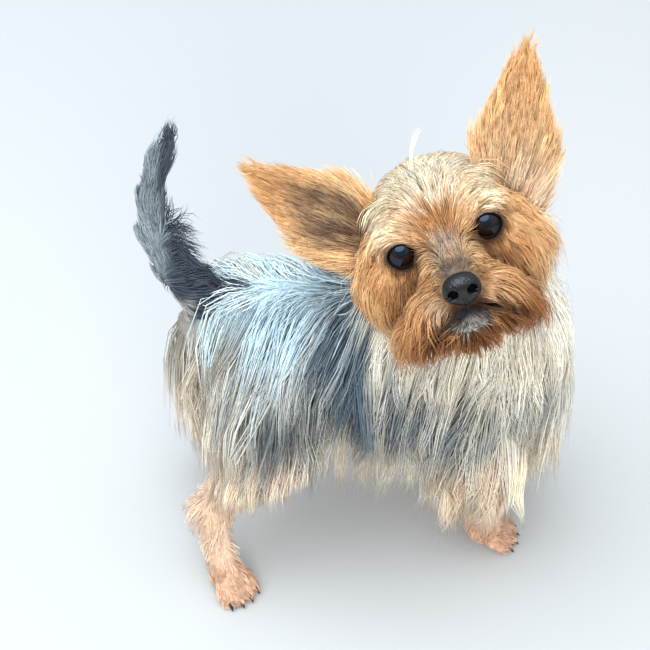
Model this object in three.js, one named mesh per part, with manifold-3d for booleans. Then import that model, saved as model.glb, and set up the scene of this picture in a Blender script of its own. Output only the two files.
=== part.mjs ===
// A standing Yorkshire terrier at life size, in millimetres.
// +X is forward along the trunk, +Y is the dog's left and +Z is up; the paws stand on z = 0.
// Each solid reaches out to the tips of the coat, and neighbours are parted by a small gap.

import * as THREE from "three";
import { mergeVertices } from "three/addons/utils/BufferGeometryUtils.js";
import Module from "manifold-3d";

const wasm = await Module();
wasm.setup();

// Driving dimensions of the body

const gap = 0.35;
const backHeight = 198;
const trunkHalfWidth = 48;
const rumpX = -101;
const capeHemHeight = 50;
const bibFrontX = 125;
const legHalfWidth = 13;
const pawHalfWidth = 14;
const pawHalfHeight = 11;
const tailHalfWidth = 10;
const clawLength = 7;
const clawRadius = 1.7;
const clawClearance = 1.2;

// Driving dimensions of the head, in its own frame: x out of the face, y to its left, z to its crown.
// The frame's origin lies midway between the eyes.

const headPlace = new THREE.Vector3(41, -50, 260);
const headYaw = -88.3;
const headPitch = 25;
const headRoll = 19.4;
const headHalfWidth = 52;
const crownHeight = 36;
const cheekDepth = -46;
const eyeRadius = 8.5;
const eyeSpacing = 42;
const noseWidth = 19;
const noseHeight = 14;
const noseDepth = 11;
const muzzleReach = 36;
const earThickness = 7;

// Placing of the head's frame in the dog's frame

const degrees = Math.PI / 180;
const headTurn = new THREE.Euler(headRoll * degrees, -headPitch * degrees, headYaw * degrees, "ZYX");
const headFrame = new THREE.Matrix4().makeRotationFromEuler(headTurn).setPosition(headPlace);
const bodyFrame = new THREE.Matrix4();

// Closed solid from a three.js geometry

function toSolid(geometry) {
  const plain = geometry.index ? geometry.toNonIndexed() : geometry.clone();
  plain.deleteAttribute("normal");
  plain.deleteAttribute("uv");
  const merged = mergeVertices(plain, 1e-3);
  const mesh = new wasm.Mesh({
    numProp: 3,
    vertProperties: merged.attributes.position.array,
    triVerts: new Uint32Array(merged.index.array),
  });
  return new wasm.Manifold(mesh);
}

// A closed form that follows a smooth path.
// Each station is [x, y, z, half width, half depth]; the half width runs along the across vector.
// cup bends both edges forward, bluntness squares the ends off, and grow adds to the whole outside.

function loft(form, grow = 0) {
  const { stations, across, frame = bodyFrame, sides = 14, rings = 10 } = form;
  const { cup = 0, bluntness = 2.6 } = form;
  const points = stations.map((s) => new THREE.Vector3(s[0], s[1], s[2]));
  const radii = stations.map((s) => new THREE.Vector3(s[3], s[4], 0));
  const path = new THREE.CatmullRomCurve3(points, false, "centripetal");
  const sizes = new THREE.CatmullRomCurve3(radii, false, "centripetal");
  const ball = new THREE.SphereGeometry(1, sides, rings);
  const place = ball.attributes.position;
  const reference = new THREE.Vector3(...across);
  for (let i = 0; i < place.count; i += 1) {
    const polar = THREE.MathUtils.clamp(place.getY(i), -1, 1);
    const rim = Math.sqrt(Math.max(0, 1 - polar * polar));
    const along = Math.sign(polar) * Math.abs(polar) ** (2 / bluntness);
    const fullness = rim ** (2 / bluntness);
    const t = THREE.MathUtils.clamp((1 - along) / 2, 0, 1);
    const tangent = path.getTangent(t);
    const side = reference.clone().addScaledVector(tangent, -reference.dot(tangent)).normalize();
    const depth = tangent.clone().cross(side);
    const size = sizes.getPoint(t);
    const turnX = rim > 1e-6 ? place.getX(i) / rim : 0;
    const turnZ = rim > 1e-6 ? place.getZ(i) / rim : 0;
    const point = path.getPoint(t);
    point.addScaledVector(tangent, -along * grow);
    point.addScaledVector(side, turnX * fullness * (size.x + grow));
    point.addScaledVector(depth, turnZ * fullness * (size.y + grow));
    point.addScaledVector(depth, cup * (turnX * fullness) ** 2);
    point.applyMatrix4(frame);
    place.setXYZ(i, point.x, point.y, point.z);
  }
  return toSolid(ball);
}

// A closed cone for one claw, its root inside the toe

function claw(form, grow = 0) {
  const cone = new THREE.ConeGeometry(clawRadius + grow, clawLength + 2 * grow, 6, 1);
  const aim = new THREE.Vector3(...form.aim).normalize();
  const turn = new THREE.Quaternion().setFromUnitVectors(new THREE.Vector3(0, 1, 0), aim);
  cone.applyQuaternion(turn);
  cone.translate(...form.at);
  return toSolid(cone);
}

// Forms of the head

const eyeX = -6;
const headForms = {
  nose: {
    stations: [
      [muzzleReach - noseDepth, 0, -14, noseWidth / 2 - 1, noseHeight / 2],
      [muzzleReach - 3, 0, -13, noseWidth / 2, noseHeight / 2],
      [muzzleReach + 2, 0, -13, noseWidth / 2, noseHeight / 2 - 0.5],
    ],
    across: [0, 1, 0],
    frame: headFrame,
    bluntness: 3,
    sides: 12,
    rings: 8,
  },
  muzzle: {
    stations: [
      [-18, 0, -28, 38, 22],
      [-4, 0, -27, 42, 22],
      [10, 0, -24, 36, 19],
      [24, 0, -20, 25, 14],
      [muzzleReach - 1, 0, -19, 15, 12],
    ],
    across: [0, 1, 0],
    frame: headFrame,
  },
  chin: {
    stations: [
      [-20, 0, -40, 28, 14],
      [0, 0, -41, 28, 13],
      [16, 0, -39, 22, 11],
      [31, 0, -34, 14, 8],
    ],
    across: [0, 1, 0],
    frame: headFrame,
    sides: 14,
    rings: 10,
  },
  head: {
    stations: [
      [-76, 0, -8, 40, 34],
      [-56, 0, -6, 46, 38],
      [-34, 0, (crownHeight + cheekDepth) / 2 - 1, headHalfWidth + 1, (crownHeight - cheekDepth) / 2],
      [-14, 0, -5, 46, 36],
      [-1, 0, -4, 36, 28],
    ],
    across: [0, 1, 0],
    frame: headFrame,
    sides: 18,
    rings: 12,
  },
  ear_right: {
    stations: [
      [-40, -38, 4, 24, earThickness / 2 + 1],
      [-36, -50, 20, 27, earThickness / 2],
      [-32, -62, 38, 21, earThickness / 2],
      [-28, -74, 54, 11, earThickness / 2 - 0.5],
      [-27, -81, 63, 4, earThickness / 2 - 1.5],
    ],
    across: [0, 0.79, 0.62],
    frame: headFrame,
    cup: -9,
    bluntness: 2.2,
    sides: 14,
    rings: 12,
  },
  ear_left: {
    stations: [
      [-40, 34, -8, 26, earThickness / 2 + 1],
      [-36, 43, 12, 31, earThickness / 2],
      [-32, 51, 34, 26, earThickness / 2],
      [-28, 60, 56, 15, earThickness / 2 - 0.5],
      [-27, 69, 75, 4, earThickness / 2 - 1.5],
    ],
    across: [0, 0.92, -0.39],
    frame: headFrame,
    cup: -9,
    bluntness: 2.2,
    sides: 14,
    rings: 12,
  },
};

for (const [name, sign] of [["eye_right", -1], ["eye_left", 1]]) {
  headForms[name] = {
    stations: [
      [eyeX - eyeRadius, (sign * eyeSpacing) / 2, 0, eyeRadius, eyeRadius],
      [eyeX, (sign * eyeSpacing) / 2, 0, eyeRadius, eyeRadius],
      [eyeX + eyeRadius, (sign * eyeSpacing) / 2, 0, eyeRadius, eyeRadius],
    ],
    across: [0, 1, 0],
    frame: headFrame,
    bluntness: 2,
    sides: 14,
    rings: 10,
  };
}

// Forms of the neck, the bib and the trunk

const trunkForms = {
  neck: {
    stations: [
      [66, 4, 150, 44, 44],
      [56, 2, 180, 46, 44],
      [46, 0, 208, 44, 40],
      [39, -4, 240, 38, 34],
    ],
    across: [0, 1, 0],
  },
  bib: {
    stations: [
      [62, -22, 214, 40, 30],
      [74, -16, 180, 50, 36],
      [bibFrontX - 42, -8, 135, 57, 42],
      [bibFrontX - 40, -5, 90, 56, 40],
      [bibFrontX - 38, -5, capeHemHeight - 17, 46, 30],
    ],
    across: [0, 1, 0],
    sides: 18,
    rings: 10,
    bluntness: 3.2,
  },
  shoulder_right: {
    stations: [
      [46, -30, 188, 26, 20],
      [42, -34, 150, 36, 22],
      [30, -36, 110, 40, 21],
      [22, -36, 80, 36, 18],
      [20, -36, capeHemHeight, 30, 14],
    ],
    across: [1, 0, 0],
    bluntness: 3.2,
  },
  shoulder_left: {
    stations: [
      [46, 34, 188, 26, 20],
      [44, 38, 150, 36, 22],
      [34, 40, 110, 40, 21],
      [28, 40, 80, 36, 18],
      [26, 40, capeHemHeight, 30, 14],
    ],
    across: [1, 0, 0],
    bluntness: 3.2,
  },
  trunk_front: {
    stations: [
      [-16, 3, backHeight - 62, trunkHalfWidth + 1, 62],
      [10, 3, backHeight - 66, trunkHalfWidth + 3, 68],
      [38, 3, backHeight - 70, trunkHalfWidth + 4, 74],
      [66, 3, backHeight - 74, trunkHalfWidth + 3, 72],
      [98, 2, backHeight - 80, trunkHalfWidth - 4, 60],
    ],
    across: [0, 1, 0],
    sides: 18,
    rings: 10,
    bluntness: 4,
  },
  thigh_right: {
    stations: [
      [-58, -26, 172, 28, 18],
      [-58, -34, 140, 38, 20],
      [-56, -37, 105, 38, 18],
      [-58, -38, 80, 30, 16],
      [-62, -39, 60, 20, 13],
    ],
    across: [1, 0, 0],
    bluntness: 2.8,
  },
  thigh_left: {
    stations: [
      [-58, 30, 172, 28, 18],
      [-58, 37, 140, 38, 20],
      [-56, 40, 105, 38, 18],
      [-60, 41, 80, 30, 16],
      [-66, 42, 60, 20, 13],
    ],
    across: [1, 0, 0],
    bluntness: 2.8,
  },
  trunk_rear: {
    stations: [
      [rumpX, 0, backHeight - 72, 34, 42],
      [rumpX + 22, 0, backHeight - 67, 42, 51],
      [-50, 1, backHeight - 58, trunkHalfWidth - 1, 56],
      [-18, 2, backHeight - 57, trunkHalfWidth, 57],
      [16, 3, backHeight - 58, trunkHalfWidth, 57],
    ],
    across: [0, 1, 0],
    sides: 18,
    rings: 10,
    bluntness: 3,
  },
};

// Forms of the tail, which curls up and forward and carries its feathering on the inner side

const tailForms = {
  tail: {
    stations: [
      [-76, 2, 172, tailHalfWidth, tailHalfWidth + 2],
      [-94, 1, 196, tailHalfWidth, tailHalfWidth + 1],
      [-103, 0, 222, tailHalfWidth, tailHalfWidth],
      [-102, 0, 248, tailHalfWidth - 1, tailHalfWidth - 1],
      [-99, 0, 264, tailHalfWidth - 2, tailHalfWidth - 3],
      [-91, 0, 279, tailHalfWidth - 4, tailHalfWidth - 6],
    ],
    across: [0, 1, 0],
    sides: 14,
    rings: 14,
  },
  tail_feathering: {
    stations: [
      [-84, 1, 194, tailHalfWidth - 4, 6],
      [-86, 1, 210, tailHalfWidth - 3, 12],
      [-88, 0, 228, tailHalfWidth - 4, 9],
      [-91, 0, 244, tailHalfWidth - 6, 4],
    ],
    across: [0, 1, 0],
    sides: 12,
    rings: 10,
  },
};

// Forms of the legs below the coat's hem

const pawForms = {
  forepaw_right: {
    stations: [
      [68, -17, 10, pawHalfWidth - 3, pawHalfHeight],
      [78, -18, 9, pawHalfWidth - 1, pawHalfHeight],
      [90, -20, 7, pawHalfWidth, pawHalfHeight - 1],
      [102, -22, 4, pawHalfWidth - 2, pawHalfHeight - 4],
    ],
    across: [0, 1, 0],
  },
  forepaw_left: {
    stations: [
      [72, 25, 10, pawHalfWidth - 3, pawHalfHeight],
      [82, 26, 9, pawHalfWidth - 1, pawHalfHeight],
      [94, 27, 7, pawHalfWidth, pawHalfHeight - 1],
      [106, 29, 4, pawHalfWidth - 2, pawHalfHeight - 4],
    ],
    across: [0, 1, 0],
  },
  hindpaw_right: {
    stations: [
      [-80, -46, 11, pawHalfWidth - 4, pawHalfHeight],
      [-73, -53, 9, pawHalfWidth - 1, pawHalfHeight],
      [-65, -61, 7, pawHalfWidth, pawHalfHeight - 1],
      [-57, -71, 4, pawHalfWidth - 2, pawHalfHeight - 4],
    ],
    across: [0.77, 0.64, 0],
  },
  hindpaw_left: {
    stations: [
      [-90, 41, 11, pawHalfWidth - 4, pawHalfHeight],
      [-80, 42, 9, pawHalfWidth - 1, pawHalfHeight],
      [-68, 43, 7, pawHalfWidth, pawHalfHeight - 1],
      [-56, 44, 4, pawHalfWidth - 2, pawHalfHeight - 4],
    ],
    across: [0, 1, 0],
  },
};
for (const form of Object.values(pawForms)) {
  form.sides = 14;
  form.rings = 10;
  form.bluntness = 2.8;
}

const legForms = {
  foreleg_right: {
    stations: [
      [64, -27, 96, legHalfWidth + 4, legHalfWidth + 4],
      [71, -23, 60, legHalfWidth + 1, legHalfWidth + 1],
      [76, -20, 32, legHalfWidth, legHalfWidth],
      [79, -19, 8, legHalfWidth - 1, legHalfWidth - 2],
    ],
    across: [0, 1, 0],
  },
  foreleg_left: {
    stations: [
      [66, 31, 96, legHalfWidth + 4, legHalfWidth + 4],
      [74, 29, 60, legHalfWidth + 1, legHalfWidth + 1],
      [79, 27, 32, legHalfWidth, legHalfWidth],
      [82, 26, 8, legHalfWidth - 1, legHalfWidth - 2],
    ],
    across: [0, 1, 0],
  },
  hindleg_right: {
    stations: [
      [-66, -38, 88, legHalfWidth + 4, legHalfWidth + 7],
      [-77, -40, 62, legHalfWidth, legHalfWidth + 4],
      [-77, -44, 40, legHalfWidth - 1, legHalfWidth + 3],
      [-72, -52, 8, legHalfWidth - 2, legHalfWidth],
    ],
    across: [0, 1, 0],
  },
  hindleg_left: {
    stations: [
      [-68, 41, 88, legHalfWidth + 4, legHalfWidth + 7],
      [-86, 41, 60, legHalfWidth, legHalfWidth + 2],
      [-89, 41, 40, legHalfWidth - 1, legHalfWidth],
      [-82, 42, 8, legHalfWidth - 2, legHalfWidth - 1],
    ],
    across: [0, 1, 0],
  },
};
for (const form of Object.values(legForms)) {
  form.sides = 12;
  form.rings = 10;
}

// Four claws for each paw, fanned about the way its toes point

const toeTips = {
  forepaw_right: { tip: [98, -21.5], heading: -9 },
  forepaw_left: { tip: [102, 28.4], heading: 8 },
  hindpaw_right: { tip: [-59.5, -68], heading: -51 },
  hindpaw_left: { tip: [-60, 43.7], heading: 5 },
};
const clawForms = {};
for (const [paw, toe] of Object.entries(toeTips)) {
  for (let i = 0; i < 4; i += 1) {
    const spread = i - 1.5;
    const heading = (toe.heading + spread * 13) * degrees;
    const crosswise = (toe.heading + 90) * degrees;
    const reach = 4.6 - 2.2 * Math.abs(spread);
    const x = toe.tip[0] + Math.cos(crosswise) * spread * 6 + Math.cos(heading) * reach;
    const y = toe.tip[1] + Math.sin(crosswise) * spread * 6 + Math.sin(heading) * reach;
    clawForms[paw + "_claw_" + (i + 1)] = {
      at: [x, y, clawClearance + clawLength * 0.36],
      aim: [Math.cos(heading), Math.sin(heading), -0.3],
    };
  }
}

// Colours and surfaces of the parts

const surfaces = {
  gold: { color: 0xcf9e67, roughness: 0.85 },
  russet: { color: 0xa8693c, roughness: 0.85 },
  cream: { color: 0xb9a58c, roughness: 0.85 },
  steel: { color: 0x6f7f8c, roughness: 0.8 },
  silver: { color: 0x8c9297, roughness: 0.8 },
  peach: { color: 0xc08a66, roughness: 0.85 },
  leather: { color: 0x15130f, roughness: 0.45 },
  eye: { color: 0x140c08, roughness: 0.08 },
  claw: { color: 0x241f1c, roughness: 0.4 },
};
const surfaceOf = {
  nose: "leather",
  muzzle: "russet",
  chin: "russet",
  head: "gold",
  ear_right: "russet",
  ear_left: "russet",
  eye_right: "eye",
  eye_left: "eye",
  neck: "cream",
  bib: "cream",
  shoulder_right: "steel",
  shoulder_left: "steel",
  trunk_front: "steel",
  thigh_right: "silver",
  thigh_left: "silver",
  trunk_rear: "steel",
  tail: "steel",
  tail_feathering: "steel",
};

// Building in order: an earlier part keeps its whole form and a later one is cut back from it

const floor = new THREE.BoxGeometry(600, 600, 100).translate(0, 0, -50);
const belowFloor = toSolid(floor);
const order = [
  ["eye_right", headForms],
  ["eye_left", headForms],
  ["nose", headForms],
  ["muzzle", headForms],
  ["chin", headForms],
  ["head", headForms],
  ["ear_right", headForms],
  ["ear_left", headForms],
  ["bib", trunkForms],
  ["neck", trunkForms],
  ["shoulder_right", trunkForms],
  ["shoulder_left", trunkForms],
  ["trunk_front", trunkForms],
  ["thigh_right", trunkForms],
  ["thigh_left", trunkForms],
  ["trunk_rear", trunkForms],
  ["tail", tailForms],
  ["tail_feathering", tailForms],
];
for (const name of Object.keys(pawForms)) {
  order.push([name, pawForms]);
}
for (const name of Object.keys(legForms)) {
  order.push([name, legForms]);
}
for (const name of Object.keys(clawForms)) {
  order.push([name, clawForms]);
}

function boxesMeet(a, b) {
  const one = a.boundingBox();
  const two = b.boundingBox();
  return [0, 1, 2].every((k) => one.min[k] < two.max[k] && two.min[k] < one.max[k]);
}

function largestBody(solid) {
  const bodies = solid.decompose();
  return bodies.reduce((best, body) => (body.volume() > best.volume() ? body : best));
}

function toMesh(solid, name) {
  const data = solid.getMesh();
  const geometry = new THREE.BufferGeometry();
  const stride = data.numProp;
  const positions = new Float32Array(data.numVert * 3);
  for (let i = 0; i < data.numVert; i += 1) {
    positions.set(data.vertProperties.subarray(i * stride, i * stride + 3), i * 3);
  }
  geometry.setAttribute("position", new THREE.BufferAttribute(positions, 3));
  geometry.setIndex(new THREE.BufferAttribute(data.triVerts, 1));
  geometry.computeVertexNormals();
  const kind = surfaceOf[name] ?? (name.includes("claw") ? "claw" : "peach");
  const material = new THREE.MeshStandardMaterial({ ...surfaces[kind], metalness: 0 });
  const mesh = new THREE.Mesh(geometry, material);
  mesh.name = name;
  return mesh;
}

const dog = new THREE.Group();
const taken = [];
for (const [name, forms] of order) {
  const shape = name.includes("claw") ? claw : loft;
  let solid = shape(forms[name]);
  for (const other of taken) {
    if (boxesMeet(solid, other)) {
      solid = solid.subtract(other);
    }
  }
  solid = largestBody(solid.subtract(belowFloor));
  taken.push(shape(forms[name], gap));
  dog.add(toMesh(solid, name));
}

// The origin moves to the middle of the outline on the floor

const outline = new THREE.Box3().setFromObject(dog);
const middle = outline.getCenter(new THREE.Vector3());
dog.position.set(-middle.x, -middle.y, 0);

export default dog;
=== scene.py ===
# %% [markdown]
# # A Yorkshire terrier, standing and looking up
#
# This lesson builds one long-coated terrier over its solid frame. It goes in four steps.
#
# 1. The bare body is a field of distances, made of rounded forms that melt into each other.
# 2. One closed skin is drawn round that field, with eyes, nose and claws as pieces of their own.
# 3. The coat grows on the skin, strand by strand, combed and gathered into locks.
# 4. Materials, light and camera finish the picture.
#
# All body measures are in millimetres, in the dog's own frame. Its +X points forward along the trunk,
# +Y to the dog's left and +Z up, and the paws stand on z = 0.
#
# The frame file holds the solid dog. Its bounds are read straight away, before anything is added.

import math
import time

import bpy
import numpy as np
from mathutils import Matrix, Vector, kdtree


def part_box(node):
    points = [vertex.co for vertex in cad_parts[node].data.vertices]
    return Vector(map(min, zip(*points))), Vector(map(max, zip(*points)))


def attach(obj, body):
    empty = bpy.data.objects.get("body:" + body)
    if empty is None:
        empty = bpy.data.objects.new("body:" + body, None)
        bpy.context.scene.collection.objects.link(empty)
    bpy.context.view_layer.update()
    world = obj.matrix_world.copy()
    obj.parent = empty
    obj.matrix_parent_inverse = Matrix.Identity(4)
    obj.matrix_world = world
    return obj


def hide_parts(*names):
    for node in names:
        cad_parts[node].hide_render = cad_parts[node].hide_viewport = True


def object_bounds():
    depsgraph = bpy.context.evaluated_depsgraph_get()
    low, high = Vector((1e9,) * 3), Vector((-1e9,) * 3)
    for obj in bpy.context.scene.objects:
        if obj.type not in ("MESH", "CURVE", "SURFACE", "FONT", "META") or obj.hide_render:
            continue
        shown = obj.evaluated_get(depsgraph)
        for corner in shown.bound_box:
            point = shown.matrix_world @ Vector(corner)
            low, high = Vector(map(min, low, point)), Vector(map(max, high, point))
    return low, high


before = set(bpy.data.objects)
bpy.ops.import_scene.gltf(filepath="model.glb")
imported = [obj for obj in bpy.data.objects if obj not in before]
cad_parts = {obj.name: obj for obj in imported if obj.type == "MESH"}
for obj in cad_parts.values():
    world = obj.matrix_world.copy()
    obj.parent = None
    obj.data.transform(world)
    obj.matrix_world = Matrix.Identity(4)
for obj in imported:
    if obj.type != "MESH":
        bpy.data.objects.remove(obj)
solid_low, solid_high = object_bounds()
started = time.perf_counter()
print("solid frame from", [round(v, 3) for v in solid_low], "to", [round(v, 3) for v in solid_high])

# %% [markdown]
# ## Where the head is
#
# The dog turns its head to its right, tilts it and looks up. Shapes on a turned head are hard to place
# in the body's frame, so the head has a frame of its own: x comes out of the face, y goes to its left
# and z to its crown. An empty as a parent would also do, but every strand has to know both frames, and
# a matrix product is quicker. The solids of the two eyes tell where the head lies in the file, and so
# how far the file is shifted from the dog's own frame.

# %% The head's frame
HEAD_YAW = math.radians(-88.3)
HEAD_PITCH = math.radians(25)
HEAD_ROLL = math.radians(19.4)
HEAD_PLACE = np.array([41.0, -50.0, 260.0])
EYE_X = -6.0
EYE_Y = 21.0
EYE_RADIUS = 8.5

face_way = np.array([
    math.cos(HEAD_PITCH) * math.cos(HEAD_YAW),
    math.cos(HEAD_PITCH) * math.sin(HEAD_YAW),
    math.sin(HEAD_PITCH),
])
level_left = np.cross([0.0, 0.0, 1.0], face_way)
level_left /= np.linalg.norm(level_left)
level_up = np.cross(face_way, level_left)
left_way = math.cos(HEAD_ROLL) * level_left + math.sin(HEAD_ROLL) * level_up
crown_way = np.cross(face_way, left_way)
head_axes = np.stack([face_way, left_way, crown_way])


def box_middle(node):
    """Middle of a solid's box, in millimetres of the file."""
    low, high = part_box(node)
    return (np.array(low) + np.array(high)) / 2 * 1000


between_eyes = (box_middle("eye_left") + box_middle("eye_right")) / 2
file_shift = between_eyes - (HEAD_PLACE + EYE_X * face_way)
print("the file is shifted by", np.round(file_shift, 2), "mm")


def head_to_dog(points):
    return HEAD_PLACE + np.asarray(points, float) @ head_axes


def dog_to_head(points):
    return (np.asarray(points, float) - HEAD_PLACE) @ head_axes.T


def turned(directions):
    """Directions of the head's frame, in the dog's frame."""
    return np.asarray(directions, float) @ head_axes


# %% [markdown]
# ## Forms that melt together
#
# A body has no seams: the shoulder runs into the neck and the cheek into the muzzle. Metaballs or a
# sculpted mesh could give that. Here each form is a small function that gives the distance from a point
# to its surface, negative inside, and a smooth union rounds the crease where two forms meet. The strands
# can later ask the same functions where the skin is.

# %% Directions and blends


def unit(vectors):
    return vectors / np.maximum(np.linalg.norm(vectors, axis=-1, keepdims=True), 1e-9)


def smoothstep(low, high, value):
    t = np.clip((value - low) / (high - low), 0, 1)
    return t * t * (3 - 2 * t)


def smooth_union(a, b, blend):
    h = np.clip(0.5 + 0.5 * (b - a) / blend, 0, 1)
    return b * (1 - h) + a * h - blend * h * (1 - h)


print("half way through a smooth step:", smoothstep(0, 1, 0.5))

# %% Eggs and tapered limbs


class Form:
    """One rounded form: a group it belongs to, the box it lies in and its distance."""

    def __init__(self, group, low, high, distance, blend=8.0):
        self.group = group
        self.low = np.asarray(low, float)
        self.high = np.asarray(high, float)
        self.distance = distance
        self.blend = blend


def corners_of(low, high):
    ends = list(zip(low, high))
    return np.array([[x, y, z] for x in ends[0] for y in ends[1] for z in ends[2]])


def egg(group, centre, radii, on_head=False, blend=8.0):
    centre = np.asarray(centre, float)
    radii = np.asarray(radii, float)

    def distance(p):
        q = (dog_to_head(p) if on_head else p) - centre
        near = np.linalg.norm(q / radii, axis=-1)
        slope = np.linalg.norm(q / radii**2, axis=-1)
        return near * (near - 1) / np.maximum(slope, 1e-6)

    box = corners_of(centre - radii, centre + radii)
    if on_head:
        box = head_to_dog(box)
    return Form(group, box.min(0), box.max(0), distance, blend)


def limb(group, points, on_head=False, blend=8.0):
    """A chain of tapered rods. Each point is x, y, z and radius."""
    points = [np.asarray(p, float) for p in points]
    if on_head:
        points = [np.append(head_to_dog(p[:3]), p[3]) for p in points]
    forms = []
    for a, b in zip(points[:-1], points[1:]):
        way = b[:3] - a[:3]
        length_squared = float(way @ way)

        def distance(p, a=a, b=b, way=way, length_squared=length_squared):
            t = np.clip((p - a[:3]) @ way / length_squared, 0, 1)
            middle = a[:3] + t[..., None] * way
            return np.linalg.norm(p - middle, axis=-1) - (a[3] + t * (b[3] - a[3]))

        big = max(a[3], b[3])
        low = np.minimum(a[:3], b[:3]) - big
        high = np.maximum(a[:3], b[:3]) + big
        forms.append(Form(group, low, high, distance, blend))
    return forms


thumb = egg("test", (0, 0, 0), (10, 10, 10))
print("12 mm from the middle of a 10 mm egg:", thumb.distance(np.array([[12.0, 0, 0]]))[0], "mm away")

# %% [markdown]
# ## The bare body
#
# A clipped Yorkshire terrier is a small, light dog: a trunk about 65 mm wide with its brisket 98 mm
# above the floor, legs like pencils and a round skull with a short muzzle. The coat adds the rest. The
# trunk is a few eggs for rump, ribs, chest and withers. Neck, legs and tail are chains of tapered rods,
# bent at the real joints. Every form lies inside the solid frame by the depth of the coat there.

# %% Trunk, neck, legs and tail
forms = [
    egg("trunk", (-57, 2, 149), (37, 30, 33), blend=18),
    egg("trunk", (-12, 2, 148), (56, 27, 31), blend=18),
    egg("trunk", (40, 3, 143), (58, 33, 43), blend=18),
    egg("trunk", (80, 3, 142), (28, 27, 35), blend=18),
    egg("trunk", (56, 3, 174), (36, 18, 20), blend=18),
    egg("trunk", (58, -22, 142), (24, 16, 34), blend=14),
    egg("trunk", (58, 28, 142), (24, 16, 34), blend=14),
]
forms += limb("neck", [(68, 3, 160, 34), (55, 0, 196, 28), (46, -8, 226, 26)], blend=16)
# Shoulder, elbow, wrist and paw
forms += limb("foreleg_right", [(72, -27, 120, 15), (62, -28, 102, 12), (73, -22, 52, 8.5), (79, -19, 18, 8)])
forms += limb("foreleg_left", [(74, 33, 120, 15), (64, 33, 102, 12), (76, 28, 52, 8.5), (82, 26, 18, 8)])
# Hip, stifle, hock and paw
right_hind = [(-52, -24, 140, 22), (-43, -39, 102, 14), (-80, -41, 54, 7.5), (-73, -51, 16, 7.5)]
left_hind = [(-52, 30, 140, 22), (-43, 43, 102, 14), (-90, 41, 52, 7.5), (-82, 42, 16, 7.5)]
forms += limb("hindleg_right", right_hind, blend=10)
forms += limb("hindleg_left", left_hind, blend=10)
forms += limb("tail", [(-78, 2, 172, 10), (-94, 1, 197, 7), (-102, 0, 222, 6), (-102, 0, 246, 5)], blend=5)
forms += limb("tail", [(-102, 0, 246, 5), (-98, 0, 262, 4.2), (-93, 0, 273, 3.2)], blend=4)
print(len(forms), "forms for trunk, neck, legs and tail")

# %% [markdown]
# ## Paws
#
# A paw is a heel and four toes, set side by side. Each paw stands where its solid stands, turned by its
# own heading in degrees. A loop makes the toes, so that the claws can ask for the same places later.

# %% Paws and toes
# Middle of each paw on the floor, and its heading
PAWS = {
    "forepaw_right": ((84, -19.3), -9),
    "forepaw_left": ((88, 26.5), 8),
    "hindpaw_right": ((-68.5, -56.5), -51),
    "hindpaw_left": ((-75, 42.5), 5),
}


def paw_axes(paw):
    """Middle of a paw on the floor, and the ways ahead and to its left."""
    (x, y), heading = PAWS[paw]
    heading = math.radians(heading)
    ahead = np.array([math.cos(heading), math.sin(heading), 0.0])
    aside = np.array([-math.sin(heading), math.cos(heading), 0.0])
    return np.array([x, y, 0.0]), ahead, aside


def toe_place(paw, k):
    """Knuckle and tip of toe k, counted 0 to 3 across the paw."""
    middle, ahead, aside = paw_axes(paw)
    spread = k - 1.5
    reach = 10.5 - 2.2 * abs(spread)
    knuckle = middle + ahead * (reach - 6) + aside * spread * 4.6 + np.array([0, 0, 8.2])
    tip = middle + ahead * reach + aside * spread * 5.4 + np.array([0, 0, 4.0])
    return knuckle, tip


for paw in PAWS:
    middle, ahead, _ = paw_axes(paw)
    heel = middle - ahead * 7
    pad = middle + ahead
    forms += limb(paw, [(*heel[:2], 10, 8.0), (*pad[:2], 7.5, 8.5)], blend=4)
    for k in range(4):
        knuckle, tip = toe_place(paw, k)
        forms += limb(paw, [(*knuckle, 3.9), (*tip, 3.7)], blend=1.6)
print(len(forms), "forms below the head")

# %% [markdown]
# ## The bare head
#
# The skull is an egg with a forehead, two cheeks and two brows. The muzzle is a short tapered rod with
# a bridge, full lips, a lower jaw and a chin. The places follow the photograph, seen along the camera's
# rays, because a few millimetres at the muzzle already make another dog.

# %% Skull and muzzle
forms += [
    egg("head", (-37, 0, 2), (32, 30, 27), True, 12),
    egg("head", (-15, 0, 9), (18, 23, 16), True, 10),
    egg("head", (-22, 24, -14), (20, 14, 18), True, 10),
    egg("head", (-22, -24, -14), (20, 14, 18), True, 10),
    egg("head", (-10.5, 20, 7.0), (8, 12, 5.5), True, 7),
    egg("head", (-10.5, -20, 7.0), (8, 12, 5.5), True, 7),
]
forms += limb("muzzle", [(-8, 0, -15, 16), (24, 0, -16, 11.5)], True, 8)
forms += limb("muzzle", [(-4, 0, -4, 8), (26, 0, -9, 7)], True, 6)
forms += [
    egg("muzzle", (18, 10, -21.5), (14.5, 11, 9), True, 4),
    egg("muzzle", (18, -10, -21.5), (14.5, 11, 9), True, 4),
]
forms += limb("muzzle", [(-14, 0, -32, 14), (20, 0, -34, 9)], True, 2)
forms += [
    egg("muzzle", (25.5, -1, -31.5), (7.5, 10.5, 5.5), True, 2),
    egg("muzzle", (8, 13, -33.5), (15, 11.5, 8), True, 3),
    egg("muzzle", (8, -15, -34), (15, 12.5, 8), True, 3),
]
print(len(forms), "forms with skull and muzzle")

# %% [markdown]
# ## Lids
#
# A terrier's eye is a ball of about 17 mm, sunk in its lids so that only an almond shows. A ball a
# little larger than the eye makes both lids at once, and the almond is cut from it further on.

# %% Lids
LOOK_UP = math.radians(2)
LID_GAP = 1.15


def eye_centre(side):
    """Middle of one eyeball in the head's frame. Side is -1 for the right eye and 1 for the left."""
    return np.array([EYE_X, side * EYE_Y, 0.0])


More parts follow.
